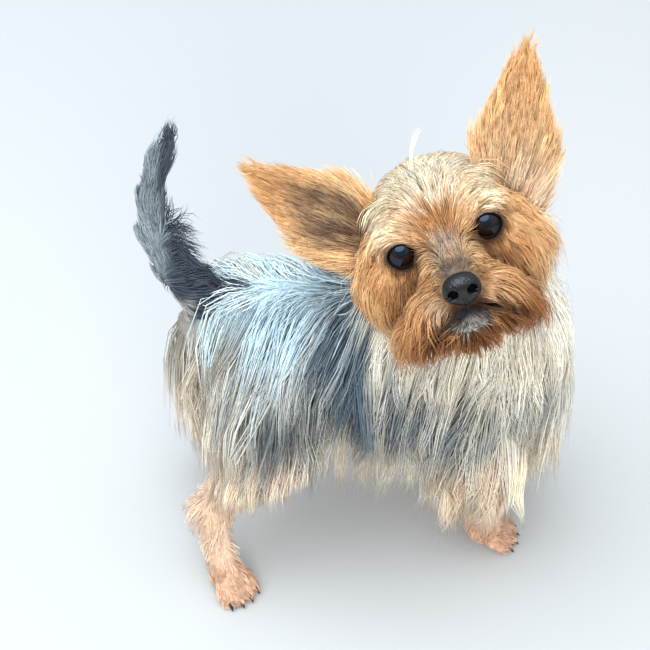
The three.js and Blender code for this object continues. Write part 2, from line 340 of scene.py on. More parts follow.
def lids(side):
    centre = eye_centre(side)

    def distance(p):
        return np.linalg.norm(dog_to_head(p) - centre, axis=-1) - (EYE_RADIUS + LID_GAP)

    middle = head_to_dog(centre)
    return Form("head", middle - 11, middle + 11, distance, 3.5)


forms += [lids(-1), lids(1)]
print("lids stand", LID_GAP, "mm off the eyeballs")

# %% [markdown]
# ## Ears
#
# An ear is a thin sheet, cupped along its length, broad low down and pointed at its tip. A subdivided
# plane with thickness could be one. As a form of the same field it grows out of the skull without a
# seam. The outline gives the half width at shares of the way up, and the right ear lies lower.

# %% Ears
EARS = {
    "ear_right": {"base": (-38, -36, 6), "tip": (-29, -74, 54), "half_width": 19.5},
    "ear_left": {"base": (-38, 35, 0), "tip": (-29, 64.5, 64), "half_width": 19.5},
}
EAR_OUTLINE = ([-0.2, 0.0, 0.3, 0.6, 0.85, 1.0], [0.72, 0.86, 1.0, 0.74, 0.38, 0.10])
EAR_CUP = 8.0
EAR_THICKNESS = 2.8
EAR_EDGE = 1.4


def ear_axes(ear):
    """Base, way up, way across, way out of the open side, and length of one ear, in the head's frame."""
    base = np.asarray(EARS[ear]["base"], float)
    tip = np.asarray(EARS[ear]["tip"], float)
    along = tip - base
    length = float(np.linalg.norm(along))
    along = along / length
    front = unit(np.array([1.0, 0.0, 0.0]) - along[0] * along)
    across = np.cross(along, front)
    return base, along, across, front, length


def ear_place(ear, head_points):
    """Share of the way up the ear, share of its half width across, height over its sheet, half width."""
    base, along, across, front, length = ear_axes(ear)
    q = np.asarray(head_points, float) - base
    up = q @ along / length
    half = np.interp(up, *EAR_OUTLINE) * EARS[ear]["half_width"]
    sideways = q @ across / half
    sheet = EAR_CUP * (1 - 0.5 * np.clip(up, 0, 1)) * np.clip(sideways, -1.3, 1.3) ** 2 - 3
    return up, sideways, q @ front - sheet, half


def ear_form(ear):
    base, along, _, _, length = ear_axes(ear)

    def distance(p):
        up, sideways, height, half = ear_place(ear, dog_to_head(p))
        rim = (np.abs(sideways) - 1) * half
        ends = np.maximum(-0.2 - up, up - 1) * length
        flat = np.abs(height) * 0.85 - EAR_THICKNESS / 2
        outside = np.maximum(rim, ends)
        rounded = np.hypot(np.maximum(outside + EAR_EDGE, 0), np.maximum(flat + EAR_EDGE, 0)) - EAR_EDGE
        return np.where(outside > -EAR_EDGE, rounded, flat)

    reach = EARS[ear]["half_width"] + 6
    ends = head_to_dog(np.array([base - along * 0.2 * length, base + along * length]))
    return Form(ear, ends.min(0) - reach, ends.max(0) + reach, distance, 5.0)


forms += [ear_form(ear) for ear in EARS]
print("ears", [round(float(ear_axes(ear)[4])) for ear in EARS], "mm long")

# %% [markdown]
# ## Cuts
#
# Two things are cut from the head: the almond openings of the lids and the line of the mouth. A cut is
# a form too. It is taken away with a small blend, which leaves the soft edge of a lid or a lip.

# %% Openings of the eyes
EYE_HALF_WIDTH = 6.9
EYE_HALF_HEIGHT = 5.9
EYE_SLANT = math.radians(8)


def eye_axes(side):
    """Axes of one eye in the head's frame: out of the pupil, across its opening and up it."""
    out = unit(np.array([math.cos(LOOK_UP), side * 0.03, math.sin(LOOK_UP)]))
    across = unit(np.cross([0, 0, 1.0], out))
    up = np.cross(out, across)
    slant = side * EYE_SLANT
    slanted_across = math.cos(slant) * across + math.sin(slant) * up
    slanted_up = -math.sin(slant) * across + math.cos(slant) * up
    return out, slanted_across, slanted_up


def eye_opening(side):
    centre = eye_centre(side)
    out, across, up = eye_axes(side)

    def distance(p):
        q = dog_to_head(p) - centre
        a = q @ across / EYE_HALF_WIDTH
        b = q @ up / EYE_HALF_HEIGHT
        almond = (np.sqrt(a * a + b * b + 0.18 * a * a * b * b) - 1) * EYE_HALF_HEIGHT
        return np.maximum(almond, 1.0 - q @ out)

    middle = head_to_dog(centre + out * 6)
    return Form("cut", middle - 14, middle + 14, distance, 0.7)


print("eye openings", 2 * EYE_HALF_WIDTH, "by", 2 * EYE_HALF_HEIGHT, "mm")

# %% Line of the mouth
# From below the nose to the right and to the left corner
MOUTH_RADIUS = 1.5
MOUTH_LINE = [
    [(35, 0, -24.5), (31.5, -7, -27), (26, -15, -30.5), (19, -21, -36), (10, -25, -42)],
    [(35, 0, -24.5), (33, 4.5, -25), (30, 10.5, -27), (24, 18.5, -32), (15, 24.5, -38.5)],
]


def mouth_cuts():
    cuts = []
    for line in MOUTH_LINE:
        cuts += limb("cut", [(x, y, z, MOUTH_RADIUS) for x, y, z in line], True, 0.8)
    return cuts


cuts = [eye_opening(-1), eye_opening(1)] + mouth_cuts()
print(len(cuts), "cuts")

# %% [markdown]
# ## From distances to one skin
#
# The skin is one closed mesh, because a coat can't hide a seam at every angle. Joined primitives and a
# remesh would lose the lids. So the field is sampled on a grid that is fine at the face and coarser
# elsewhere. Where it changes sign a surface net is drawn: one point in each cell that the surface
# crosses, joined by four-sided faces. Nothing reaches below the floor, which flattens the pads.

# %% Grid


def ruled(stops):
    """Grid lines from stops of (place, spacing up to the next stop)."""
    lines = []
    for (start, step), (end, _) in zip(stops[:-1], stops[1:]):
        count = max(1, round((end - start) / step))
        lines.append(np.linspace(start, end, count, endpoint=False))
    return np.concatenate([*lines, [stops[-1][0]]])


grid_x = ruled([(-116, 2.2), (-60, 1.5), (-2, 0.85), (86, 1.5), (106, 2.2), (122, 0)])
grid_y = ruled([(-94, 0.85), (-38, 1.5), (24, 2.2), (62, 0)])
grid_z = ruled([(-3, 1.2), (26, 2.2), (214, 0.85), (300, 1.5), (338, 0)])
axes = [grid_x, grid_y, grid_z]
print("grid of", [len(line) for line in axes], "lines")

# %% Sampling the field
FAR = 16.0
CUT_MARGIN = 6


def block(form, lines, margin):
    """Index ranges of the grid lines within the form's box and a margin, and the points there."""
    ranges = []
    for k in range(3):
        first = np.searchsorted(lines[k], form.low[k] - margin)
        last = np.searchsorted(lines[k], form.high[k] + margin, side="right")
        ranges.append(slice(int(first), int(last)))
    mesh = np.meshgrid(*[lines[k][ranges[k]] for k in range(3)], indexing="ij")
    return tuple(ranges), np.stack(mesh, -1)


def sample_field(forms, cuts, lines, floor=True):
    field = np.full([len(line) for line in lines], FAR, np.float32)
    for form in forms:
        where, points = block(form, lines, FAR)
        if points.size:
            field[where] = smooth_union(field[where], form.distance(points), form.blend)
    for cut in cuts:
        where, points = block(cut, lines, CUT_MARGIN)
        if points.size:
            field[where] = -smooth_union(-field[where], cut.distance(points), cut.blend)
    if floor:
        field = np.maximum(field, -lines[2][None, None, :]).astype(np.float32)
    return field


field = sample_field(forms, cuts, axes)
print("field of", field.shape, "from", round(float(field.min()), 1), "mm")

# %% Surface net
CORNERS = np.array([[i, j, k] for i in (0, 1) for j in (0, 1) for k in (0, 1)])


def crossed_cells(inside):
    """Cells with corners on both sides of the surface."""
    cell_shape = tuple(np.array(inside.shape) - 1)
    count = np.zeros(cell_shape, np.uint8)
    for corner in CORNERS:
        count += inside[tuple(slice(corner[k], corner[k] + cell_shape[k]) for k in range(3))]
    return (count > 0) & (count < 8)


def net_points(field, lines, cells):
    """One point in each cell: the mean of the places where its edges cross the surface."""
    total = np.zeros((len(cells), 3))
    hits = np.zeros(len(cells))
    for a in range(8):
        for b in range(a + 1, 8):
            if np.abs(CORNERS[a] - CORNERS[b]).sum() != 1:
                continue
            ia = cells + CORNERS[a]
            ib = cells + CORNERS[b]
            fa = field[ia[:, 0], ia[:, 1], ia[:, 2]]
            fb = field[ib[:, 0], ib[:, 1], ib[:, 2]]
            cross = (fa < 0) != (fb < 0)
            t = np.where(cross, fa / np.where(cross, fa - fb, 1), 0)
            pa = np.stack([lines[k][ia[:, k]] for k in range(3)], -1)
            pb = np.stack([lines[k][ib[:, k]] for k in range(3)], -1)
            point = pa + t[:, None] * (pb - pa)
            total += np.where(cross[:, None], point, 0)
            hits += cross
    return total / hits[:, None]


def surface_net(field, lines):
    """Points and four-sided faces of the surface where the field is zero."""
    shape = np.array(field.shape)
    inside = field < 0
    crossed = crossed_cells(inside)
    cells = np.argwhere(crossed)
    number = np.full(crossed.shape, -1, np.int32)
    number[crossed] = np.arange(len(cells))
    faces = []
    for k in range(3):
        u, v = (k + 1) % 3, (k + 2) % 3
        low = [slice(None)] * 3
        high = [slice(None)] * 3
        low[k] = slice(0, shape[k] - 1)
        high[k] = slice(1, shape[k])
        start = inside[tuple(low)]
        end = inside[tuple(high)]
        edge = np.argwhere(start != end)
        good = (edge[:, u] > 0) & (edge[:, v] > 0)
        good &= (edge[:, u] < shape[u] - 1) & (edge[:, v] < shape[v] - 1)
        edge = edge[good]
        step_u = np.eye(3, dtype=int)[u]
        step_v = np.eye(3, dtype=int)[v]
        ring = [edge - step_u - step_v, edge - step_v, edge, edge - step_u]
        quad = np.stack([number[r[:, 0], r[:, 1], r[:, 2]] for r in ring], -1)
        flip = ~start[edge[:, 0], edge[:, 1], edge[:, 2]]
        quad[flip] = quad[flip][:, ::-1]
        faces.append(quad)
    return net_points(field, lines, cells), np.concatenate(faces)


skin_points, skin_faces = surface_net(field, axes)
print("skin of", len(skin_points), "points and", len(skin_faces), "faces")

# %% [markdown]
# ## Reading the field at any point
#
# Strands must not sink into the body. Ray casts against the mesh would tell, one strand at a time. The
# field answers for all strands at once: how far away the skin is, and which way leads out of it.

# %% Depth and way out


def read_field(points):
    """The field at any points, from the eight grid corners round each."""
    index = []
    share = []
    for k in range(3):
        place = np.clip(points[:, k], axes[k][0] + 1e-3, axes[k][-1] - 1e-3)
        i = np.clip(np.searchsorted(axes[k], place) - 1, 0, len(axes[k]) - 2)
        index.append(i)
        share.append((place - axes[k][i]) / (axes[k][i + 1] - axes[k][i]))
    result = np.zeros(len(points))
    for dx, dy, dz in CORNERS:
        weight = (share[0] if dx else 1 - share[0])
        weight = weight * (share[1] if dy else 1 - share[1])
        weight = weight * (share[2] if dz else 1 - share[2])
        result += weight * field[index[0] + dx, index[1] + dy, index[2] + dz]
    return result


def way_out(points, reach=1.5):
    """The way of the steepest climb of the field."""
    slope = np.empty_like(points)
    for k in range(3):
        step = np.zeros(3)
        step[k] = reach
        slope[:, k] = read_field(points + step) - read_field(points - step)
    return unit(slope)


skin_out = way_out(skin_points, 1.2)
print("the skin faces up on", round(100 * float((skin_out[:, 2] > 0).mean())), "percent of its points")

# %% [markdown]
# ## Making meshes
#
# Everything is built in millimetres in the dog's frame. Here it is turned into metres in the file's
# frame. A mesh with a million faces is filled fastest through foreach_set, one array for each layer.

# %% Mesh helper
SCALE = 0.001


def to_file(points):
    return (np.asarray(points, float) + file_shift) * SCALE


def fill_mesh(name, points, *face_sets):
    """A smooth mesh object from points and arrays of faces. Each array has its own number of sides."""
    face_sets = [np.asarray(faces, np.int32) for faces in face_sets]
    corners = np.concatenate([faces.ravel() for faces in face_sets])
    sides = np.concatenate([np.full(len(faces), faces.shape[1], np.int32) for faces in face_sets])
    starts = np.cumsum(sides) - sides
    mesh = bpy.data.meshes.new(name)
    mesh.vertices.add(len(points))
    mesh.vertices.foreach_set("co", to_file(points).astype(np.float32).ravel())
    mesh.loops.add(len(corners))
    mesh.loops.foreach_set("vertex_index", corners)
    mesh.polygons.add(len(sides))
    mesh.polygons.foreach_set("loop_start", starts.astype(np.int32))
    mesh.polygons.foreach_set("use_smooth", np.ones(len(sides), bool))
    mesh.update(calc_edges=True)
    thing = bpy.data.objects.new(name, mesh)
    bpy.context.scene.collection.objects.link(thing)
    return thing


def make_mesh(name, points, faces):
    """The same for one array of faces, with Blender's own check of the result."""
    thing = fill_mesh(name, points, faces)
    thing.data.validate()
    return thing


def paint(thing, name, colours):
    """Colours of all points, as a colour attribute."""
    layer = thing.data.color_attributes.new(name, "FLOAT_COLOR", "POINT")
    full = np.ones((len(colours), 4), np.float32)
    full[:, :3] = colours
    layer.data.foreach_set("color", full.ravel())


print("one unit of the dog's frame is", SCALE, "m of the file")

# %% [markdown]
# ## The skin as a piece
#
# The skin stands for all flesh nodes of the frame file at once, so it replaces them together. Each
# point also gets the name of its nearest form. Coat and colours ask for it, because an ear is combed
# and coloured by other rules than a cheek.

# %% Groups and skin
NEAR_FORM = 12


def group_of(points):
    """For each point the group of the nearest form, as a number into group_names."""
    best = np.full(len(points), 1e9)
    label = np.zeros(len(points), int)
    for form in forms:
        near = np.all((points > form.low - NEAR_FORM) & (points < form.high + NEAR_FORM), axis=1)
        if not near.any():
            continue
        d = form.distance(points[near])
        here = np.flatnonzero(near)
        closer = d < best[here]
        best[here[closer]] = d[closer]
        label[here[closer]] = group_names.index(form.group)
    return label


group_names = sorted({form.group for form in forms})
skin_group = group_of(skin_points)
print({name: int((skin_group == i).sum()) for i, name in enumerate(group_names)})
skin = make_mesh("skin", skin_points, skin_faces)
FLESH = [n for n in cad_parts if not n.startswith("eye") and "claw" not in n and n != "nose"]
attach(skin, "root")
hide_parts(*FLESH)
print("skin ready after", round(time.perf_counter() - started, 1), "s")

# %% [markdown]
# ## Balls and tubes
#
# Eyeballs, lid rims and claws are simple bodies. Blender's own sphere would do for the eye, but its
# rings lie round z, and here they have to lie round the gaze, where the iris is.

# %% Balls and tubes


def ball(around=64, rings=40):
    """Points of a unit sphere whose poles lie on x, in rows from pole to pole."""
    polar = np.linspace(0, math.pi, rings + 1)
    turn = np.linspace(0, 2 * math.pi, around, endpoint=False)
    x = np.cos(polar)[:, None] * np.ones(around)
    y = np.sin(polar)[:, None] * np.cos(turn)
    z = np.sin(polar)[:, None] * np.sin(turn)
    return np.stack([x, y, z], -1)


def ball_faces(rows, columns):
    """Four-sided faces between rows of points that close on themselves."""
    faces = []
    for r in range(rows - 1):
        for c in range(columns):
            d = (c + 1) % columns
            low, high = r * columns, (r + 1) * columns
            faces.append((low + c, high + c, high + d, low + d))
    return faces


def tube(points, radii, around=8, closed=False):
    """Points and faces of a tube along a line of points."""
    points = np.asarray(points, float)
    radii = np.broadcast_to(radii, len(points))
    if closed:
        ways = unit(np.roll(points, -1, 0) - np.roll(points, 1, 0))
    else:
        ways = unit(np.gradient(points, axis=0))
    hint = np.array([0.31, 0.27, 0.91])
    side = unit(np.cross(ways, hint))
    up = np.cross(side, ways)
    turn = np.linspace(0, 2 * math.pi, around, endpoint=False)
    ring = np.cos(turn)[None, :, None] * side[:, None] + np.sin(turn)[None, :, None] * up[:, None]
    mesh_points = points[:, None] + ring * radii[:, None, None]
    faces = []
    count = len(points)
    for r in range(count if closed else count - 1):
        n = (r + 1) % count
        for c in range(around):
            d = (c + 1) % around
            faces.append((r * around + c, r * around + d, n * around + d, n * around + c))
    return mesh_points.reshape(-1, 3), faces


def join_meshes(name, parts):
    """One mesh object from several pairs of points and faces."""
    points = []
    faces = []
    count = 0
    for p, f in parts:
        points.append(p)
        faces.append(np.asarray(f) + count)
        count += len(p)
    return make_mesh(name, np.concatenate(points), np.concatenate(faces))


print("a ball has", ball().shape[:2], "points")

# %% [markdown]
# ## Eyes
#
# A terrier's eye looks like a wet black bead. Close by it has a very dark brown iris, and its front
# bulges a little. The rings of the ball round the gaze carry pupil, iris and white as painted colours.
# An image of an eye would need a map and a file of its own, for only four colours.

# %% Colours of the eye
GAZE = unit(np.array([0.956, 0.0, 0.292]))


def shade(code):
    """A colour from its six hexadecimal digits, made linear."""
    raw = np.array([int(code[i:i + 2], 16) for i in (0, 2, 4)]) / 255
    return np.where(raw <= 0.04045, raw / 12.92, ((raw + 0.055) / 1.055) ** 2.4)


def mix(a, b, share):
    """From colour a at share 0 to colour b at share 1."""
    share = np.asarray(share)[..., None]
    return a * (1 - share) + b * share


def code_of(colour):
    """The six digits of a linear colour, to print it."""
    raw = np.where(colour <= 0.0031308, colour * 12.92, 1.055 * np.maximum(colour, 0) ** (1 / 2.4) - 0.055)
    return "".join(f"{round(255 * float(v)):02X}" for v in raw)


EYE_WHITE = shade("3A302C")
IRIS = shade("1E0F08")
IRIS_EDGE = shade("0B0605")
PUPIL = shade("030303")
print("half way from pupil to iris:", code_of(mix(PUPIL, IRIS, 0.5)))

# %% Eyeballs
# How much further than the ball the front of the eye stands, as a share of its radius
CORNEA = 0.045


def make_eye(name, side):
    unit_ball = ball()
    rows, columns = unit_ball.shape[:2]
    aside = unit(np.cross([0, 0, 1.0], GAZE))
    up = np.cross(GAZE, aside)
    turn = np.stack([GAZE, aside, up])
    polar = np.arccos(np.clip(unit_ball[..., 0], -1, 1))
    bulge = 1 + CORNEA * smoothstep(0.72, 0.3, polar)
    points = (unit_ball * bulge[..., None]) @ turn * EYE_RADIUS + eye_centre(side)
    points = head_to_dog(points.reshape(-1, 3))
    eye = make_mesh(name, points, ball_faces(rows, columns))
    angle = np.degrees(polar).ravel()
    colours = mix(PUPIL, IRIS, smoothstep(16.5, 18.5, angle))
    colours = mix(colours, IRIS_EDGE, smoothstep(33, 41, angle))
    colours = mix(colours, EYE_WHITE, smoothstep(50, 54, angle))
    paint(eye, "tint", colours)
    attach(eye, "root")
    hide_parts(name)
    return eye


eyes = [make_eye("eye_right", -1), make_eye("eye_left", 1)]
print("eyes", 2 * EYE_RADIUS, "mm across, looking along", np.round(GAZE, 2))

# %% [markdown]
# ## Rims of the lids
#
# The edge of the lids is bare black skin. It makes the eye look larger and darker, as with a line of
# ink. A colour on the skin's mesh would be jagged there, so the rim is a thin tube along the opening.

# %% Rims of the lids
RIM_RADIUS = 0.42
RIM_HEIGHT = 0.55


def rim_points(side):
    """A closed line along the edge of the opening, just over the eyeball."""
    centre = eye_centre(side)
    out, across, up = eye_axes(side)
    turn = np.linspace(0, 2 * math.pi, 48, endpoint=False)
    a = np.cos(turn)
    b = np.sin(turn)
    stretch = 1 / np.sqrt(a * a + b * b + 0.18 * a * a * b * b)
    flat = a[:, None] * across * EYE_HALF_WIDTH + b[:, None] * up * EYE_HALF_HEIGHT
    flat = flat * stretch[:, None]
    radius = EYE_RADIUS + RIM_HEIGHT
    height = np.sqrt(np.maximum(radius**2 - (flat**2).sum(1), 0))
    return head_to_dog(centre + flat + out * height[:, None])


lid_rims = join_meshes("lid_rims", [tube(rim_points(side), RIM_RADIUS, closed=True) for side in (-1, 1)])
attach(lid_rims, "root")
print("rims of", len(lid_rims.data.vertices), "points")

# %% [markdown]
# ## Nose
#
# The nose is bare leather, broader on top than below, with two nostrils that end in a slit to the side
# and a groove down its middle. It is a field of its own on a fine grid, because the openings are only
# two or three millimetres wide and would be lost on the grid of the body.

# %% Nose pad with nostrils
nose_forms = [
    egg("nose", (31.5, 0, -12.8), (7.5, 8.2, 6.5), True, 2),
    egg("nose", (34.5, 0, -10.8), (4.6, 7.6, 4.4), True, 3),
    egg("nose", (34.6, 5.0, -14.0), (4.2, 4.0, 4.6), True, 2.0),
    egg("nose", (34.6, -5.0, -14.0), (4.2, 4.0, 4.6), True, 2.0),
    egg("nose", (33.6, 0, -17.0), (4.4, 5.0, 4.0), True, 2.0),
]
nose_forms += limb("nose", [(34.2, 0, -17.5, 1.6), (32.8, 0, -23.0, 0.9)], True, 1.5)
nostrils = []
for side in (-1, 1):
    nostrils += limb("cut", [(40.0, side * 4.3, -13.8, 2.45), (35.6, side * 4.9, -13.0, 2.0)], True, 0.6)
    nostrils += limb("cut", [(38.8, side * 5.4, -14.2, 1.2), (36.0, side * 8.6, -15.8, 0.8)], True, 0.8)
nostrils += limb("cut", [(40.2, 0, -13.2, 0.45), (38.0, 0, -17.5, 0.7), (35.4, 0, -22.5, 0.8)], True, 0.8)
nose_middle = head_to_dog([33, 0, -14])
NOSE_REACH = 15
NOSE_STEP = 0.42
nose_lines = [np.arange(middle - NOSE_REACH, middle + NOSE_REACH, NOSE_STEP) for middle in nose_middle]
nose_field = sample_field(nose_forms, nostrils, nose_lines, floor=False)
nose_points, nose_faces = surface_net(nose_field, nose_lines)
nose = make_mesh("nose", nose_points, nose_faces)
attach(nose, "root")
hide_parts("nose")
print("nose of", len(nose_points), "points")

# %% [markdown]
# ## Claws
#
# A claw is a short dark cone that leaves the toe forwards and bends down to the ground. One tapered
# tube for each toe is enough, since only its tip shows under the hair. The claws of a paw are one piece.

# %% Claws
CLAW_LENGTH = 5.4
CLAW_DROP = 3.1
CLAW_RADIUS = 1.25


def claw_mesh(paw, k):
    _, ahead, aside = paw_axes(paw)
    _, tip = toe_place(paw, k)
    way = unit(ahead + aside * (k - 1.5) * 0.16)
    start = tip + way * 1.4 + np.array([0, 0, 0.6])
    share = np.linspace(0, 1, 7)
    line = start + way * (share * CLAW_LENGTH)[:, None]
    line = line + np.array([0, 0, -1.0]) * (share**2 * CLAW_DROP)[:, None]
    line[:, 2] = np.maximum(line[:, 2], 0.9)
    radii = CLAW_RADIUS * (1 - share) ** 0.55 + 0.12
    return tube(line, radii)


paw_claws = []
for paw in PAWS:
    claws = join_meshes(paw + "_claws", [claw_mesh(paw, k) for k in range(4)])
    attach(claws, "root")
    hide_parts(*[f"{paw}_claw_{k + 1}" for k in range(4)])
    paw_claws.append(claws)
print(4 * len(paw_claws), "claws")

# %% [markdown]
# ## Markings
#
# The breed's markings run in soft steps: a cream crown, a gold and tan face with a dark mask at the
# nose, a steel blue trunk, a pale ruff and peach legs. Painting them by hand would tie them to one
# mesh. Rules in the body's own frame give a root and a tip colour for any point. The strands read them
# along their whole length and the skin reads them too, so that no pale gap shows between locks.

# %% Palette
CREAM = shade("FFF3DC")
GOLD = shade("F3CC9A")
TAN = shade("D09A66")
RUSSET = shade("A9693A")
BROWN = shade("5E3F2A")
UMBRA = shade("2A1D17")
HONEY = shade("E2AE76")
BLOND = shade("FFDDB0")
SMOKE = shade("7F6C60")
ASH = shade("C2AE9C")
RUFF = shade("E0D7C4")
SAND = shade("B9A88C")
SILVER = shade("C6CBCA")
SLATE = shade("5B6468")
WHITE = shade("F6F2E6")
STEEL = shade("6E8496")
INK = shade("35424C")
SKY = shade("DCF2FA")
PEWTER = shade("B4BFC2")
UMBER = shade("857A6C")
PEACH = shade("F8DEC4")
PAW = shade("DDB294")
TAIL_BLUE = shade("7E8A98")
TAIL_DARK = shade("434C58")
print("half cream and half gold is", code_of(mix(CREAM, GOLD, 0.5)))

# %% [markdown]
# ## Soft borders
#
# No border in a coat is sharp or straight. A made-up field of slanted waves pushes each border to and
# fro. Distances to the mouth, the lip and the eyes place the small dark marks of the face.

# %% Waves and distances on the face
LIP_PLACE = np.array([31.0, -1.0, -30.5])
LIP_SIZE = np.array([6.0, 8.5, 4.0])


def waves_at(points, size, seed):
    """A smooth made-up field between -1 and 1, the sum of a few slanted waves."""
    source = np.random.default_rng(seed)
    total = np.zeros(len(points))
    for _ in range(5):
        way = unit(source.normal(size=3))
        along = points @ way * (2 * math.pi / size)
        total += np.sin(along * source.uniform(0.6, 1.5) + source.uniform(0, 6.3))
    return np.clip(total / 3, -1, 1)


def mouth_distance(points):
    """Distance to the line of the mouth."""
    gap = np.full(len(points), 99.0)
    for cut in mouth_cuts():
        gap = np.minimum(gap, cut.distance(points) + MOUTH_RADIUS)
    return gap


def mouth_in_front(q):
    """Distance to the line of the mouth as seen from in front, for points in the head's frame."""
    gap = np.full(len(q), 99.0)
    for corner_line in MOUTH_LINE:
        line = np.array(corner_line, float)[:, 1:3]
        for a, b in zip(line[:-1], line[1:]):
            way = b - a
            share = np.clip((q[:, 1:] - a) @ way / (way @ way), 0, 1)
            gap = np.minimum(gap, np.linalg.norm(q[:, 1:] - a - share[:, None] * way, axis=1))
    return gap


def eye_distance(q):
    """Distance to the nearer eye's middle, in the head's frame."""
    return np.minimum(np.linalg.norm(q - eye_centre(1), axis=1), np.linalg.norm(q - eye_centre(-1), axis=1))


def flat_colour(colour, count):
    return np.tile(colour, (count, 1))


mouth_corner = np.array([[10.0, -25, -42]])
print("right corner of the mouth is", np.round(eye_distance(mouth_corner)[0]), "mm from the eye")

# %% [markdown]
# ## Markings of the face
#
# The face is worked out from its pale top to its dark middle. Each rule blends one colour over what is
# there already, so the order counts: crown, cheeks, eyes, nose and jaw, and the line of the mouth last.
# Each group of rules is tried on one plain gold hair.

# %% Crown and brow


def tip_at(rules, place):
    """The tip colour that rules of the face give to a plain gold hair, at a place in the head's frame."""
    q = np.array([place], float)
    return code_of(rules(q, np.zeros(1), flat_colour(TAN, 1), flat_colour(GOLD, 1))[1][0])


def crown_and_brow(q, uneven, root, tip):
    _, y, z = q.T
    wide = np.abs(y)
    crown = smoothstep(2, 13, z + 0.25 * (wide - 14) + 2 * uneven)
    crown = crown * smoothstep(50, 36, wide + 0.25 * np.maximum(y, 0))
    root = mix(root, mix(GOLD, HONEY, 0.25), crown)
    tip = mix(tip, mix(CREAM, BLOND, 0.35), crown)
    tip = mix(tip, CREAM, crown * smoothstep(18, 30, z + 3 * uneven) * smoothstep(34, 20, wide))
    band = smoothstep(28, 15, wide) * smoothstep(0, 5, z) * smoothstep(25, 11, z + 3 * uneven)
    root = mix(root, TAN, band * 0.6)
    tip = mix(tip, mix(HONEY, GOLD, 0.5), band * 0.7)
    brow = smoothstep(18, 6, np.abs(y + 1)) * smoothstep(-1, 3, z) * smoothstep(27, 17, z + 3 * uneven)
    root = mix(root, BROWN, brow * 0.75)
    return root, mix(tip, mix(TAN, RUSSET, 0.3), brow)


print("crown", tip_at(crown_and_brow, (-20, 0, 32)), "and brow", tip_at(crown_and_brow, (-8, 2, 12)))

# %% Cheeks and muzzle


def cheeks_and_muzzle(q, uneven, root, tip):
    x, y, z = q.T
    wide = np.abs(y)
    sides = smoothstep(24, 38, wide) * smoothstep(16, 0, z)
    root = mix(root, TAN, sides * 0.8)
    tip = mix(tip, mix(GOLD, TAN, np.clip(0.45 + 0.6 * uneven, 0, 1)), sides)
    low = smoothstep(-2, -13, z) * smoothstep(-14, 0, x) * smoothstep(46, 32, wide)
    root = mix(root, mix(RUSSET, BROWN, 0.35), low * 0.9)
    tip = mix(tip, mix(HONEY, TAN, np.clip(0.5 + 0.7 * uneven, 0, 1)), low * 0.9)
    # Painted sheen on the moustache beside the nose: its tips are lightened towards cream, strongly on the
    # right side and half as much on the left.
    moustache_sheen = smoothstep(5, 12, wide) * smoothstep(24, 14, wide)
    moustache_sheen = moustache_sheen * smoothstep(-30, -22, z) * smoothstep(-12, -18, z)
    tip = mix(tip, mix(GOLD, CREAM, 0.4), moustache_sheen * low * np.where(y < 0, 0.95, 0.5))
    rust = smoothstep(-26, -38, z) * smoothstep(12, 22, wide) * smoothstep(-14, 2, x)
    root = mix(root, BROWN, rust * 0.5)
    tip = mix(tip, RUSSET, rust * np.clip(0.6 + 0.5 * uneven, 0, 1))
    under = smoothstep(14, 5, np.hypot(x + 2, z + 13))
    under = under * smoothstep(10, 16, wide) * smoothstep(34, 26, wide)
    root = mix(root, BROWN, under * 0.6)
    return root, mix(tip, mix(TAN, RUSSET, 0.5), under * 0.7)


print("cheek", tip_at(cheeks_and_muzzle, (-15, 36, -10)))
print("lip", tip_at(cheeks_and_muzzle, (25, -13, -20)))

# %% Eyes and bridge


def eyes_and_bridge(q, uneven, root, tip):
    x, y, z = q.T
    wide = np.abs(y)
    round_eye = smoothstep(16, 10, eye_distance(q) + 3 * smoothstep(2, 8, z))
    root = mix(root, BROWN, round_eye * 0.75)
    tip = mix(tip, TAN, round_eye * 0.8)
    tip = mix(tip, UMBRA, smoothstep(12.0, 9.3, eye_distance(q)) * 0.75)
    tear = np.linalg.norm(np.stack([x - 1, wide - 14, z + 5], -1), axis=1)
    root = mix(root, UMBRA, smoothstep(8, 3, tear) * 0.7)
    tip = mix(tip, BROWN, smoothstep(8, 3, tear) * 0.7)
    bridge = smoothstep(13, 4, wide) * smoothstep(-12, -4, z) * smoothstep(11, 3, z) * smoothstep(-14, 0, x)
    root = mix(root, mix(SMOKE, UMBRA, 0.3), bridge)
    return root, mix(tip, ASH, bridge * (0.55 + 0.35 * uneven))


print("by the eye", tip_at(eyes_and_bridge, (-2, 21, -9)), "and bridge", tip_at(eyes_and_bridge, (10, 0, 0)))

# %% Nose and jaw


def nose_and_jaw(q, uneven, root, tip):
    x, y, z = q.T
    wide = np.abs(y)
    by_nose = smoothstep(16, 10.5, np.linalg.norm(q - [34, 0, -11], axis=1) + uneven)
    root = mix(root, UMBRA, by_nose * 0.8)
    tip = mix(tip, mix(SMOKE, UMBRA, 0.4), by_nose * smoothstep(-13, -7, z) * smoothstep(13, 4, wide) * 0.7)
    tip = mix(tip, mix(RUSSET, BROWN, 0.3), by_nose * smoothstep(-10, -16, z) * 0.6)
    below = smoothstep(-17, -20, z) * smoothstep(12, 5, wide) * smoothstep(22, 28, x)
    root = mix(root, UMBRA, below * 0.85)
    tip = mix(tip, mix(UMBRA, BROWN, 0.5), below * 0.8)
    jaw = smoothstep(-29, -36, z + 0.2 * wide) * smoothstep(-8, 6, x)
    root = mix(root, BROWN, jaw * 0.8)
    return root, mix(tip, mix(RUSSET, BROWN, np.clip(0.05 + 0.5 * uneven, 0, 1)), jaw * 0.85)


print("under the nose", tip_at(nose_and_jaw, (32, 0, -22)), "and jaw", tip_at(nose_and_jaw, (15, 5, -42)))

# %% Mouth and nape


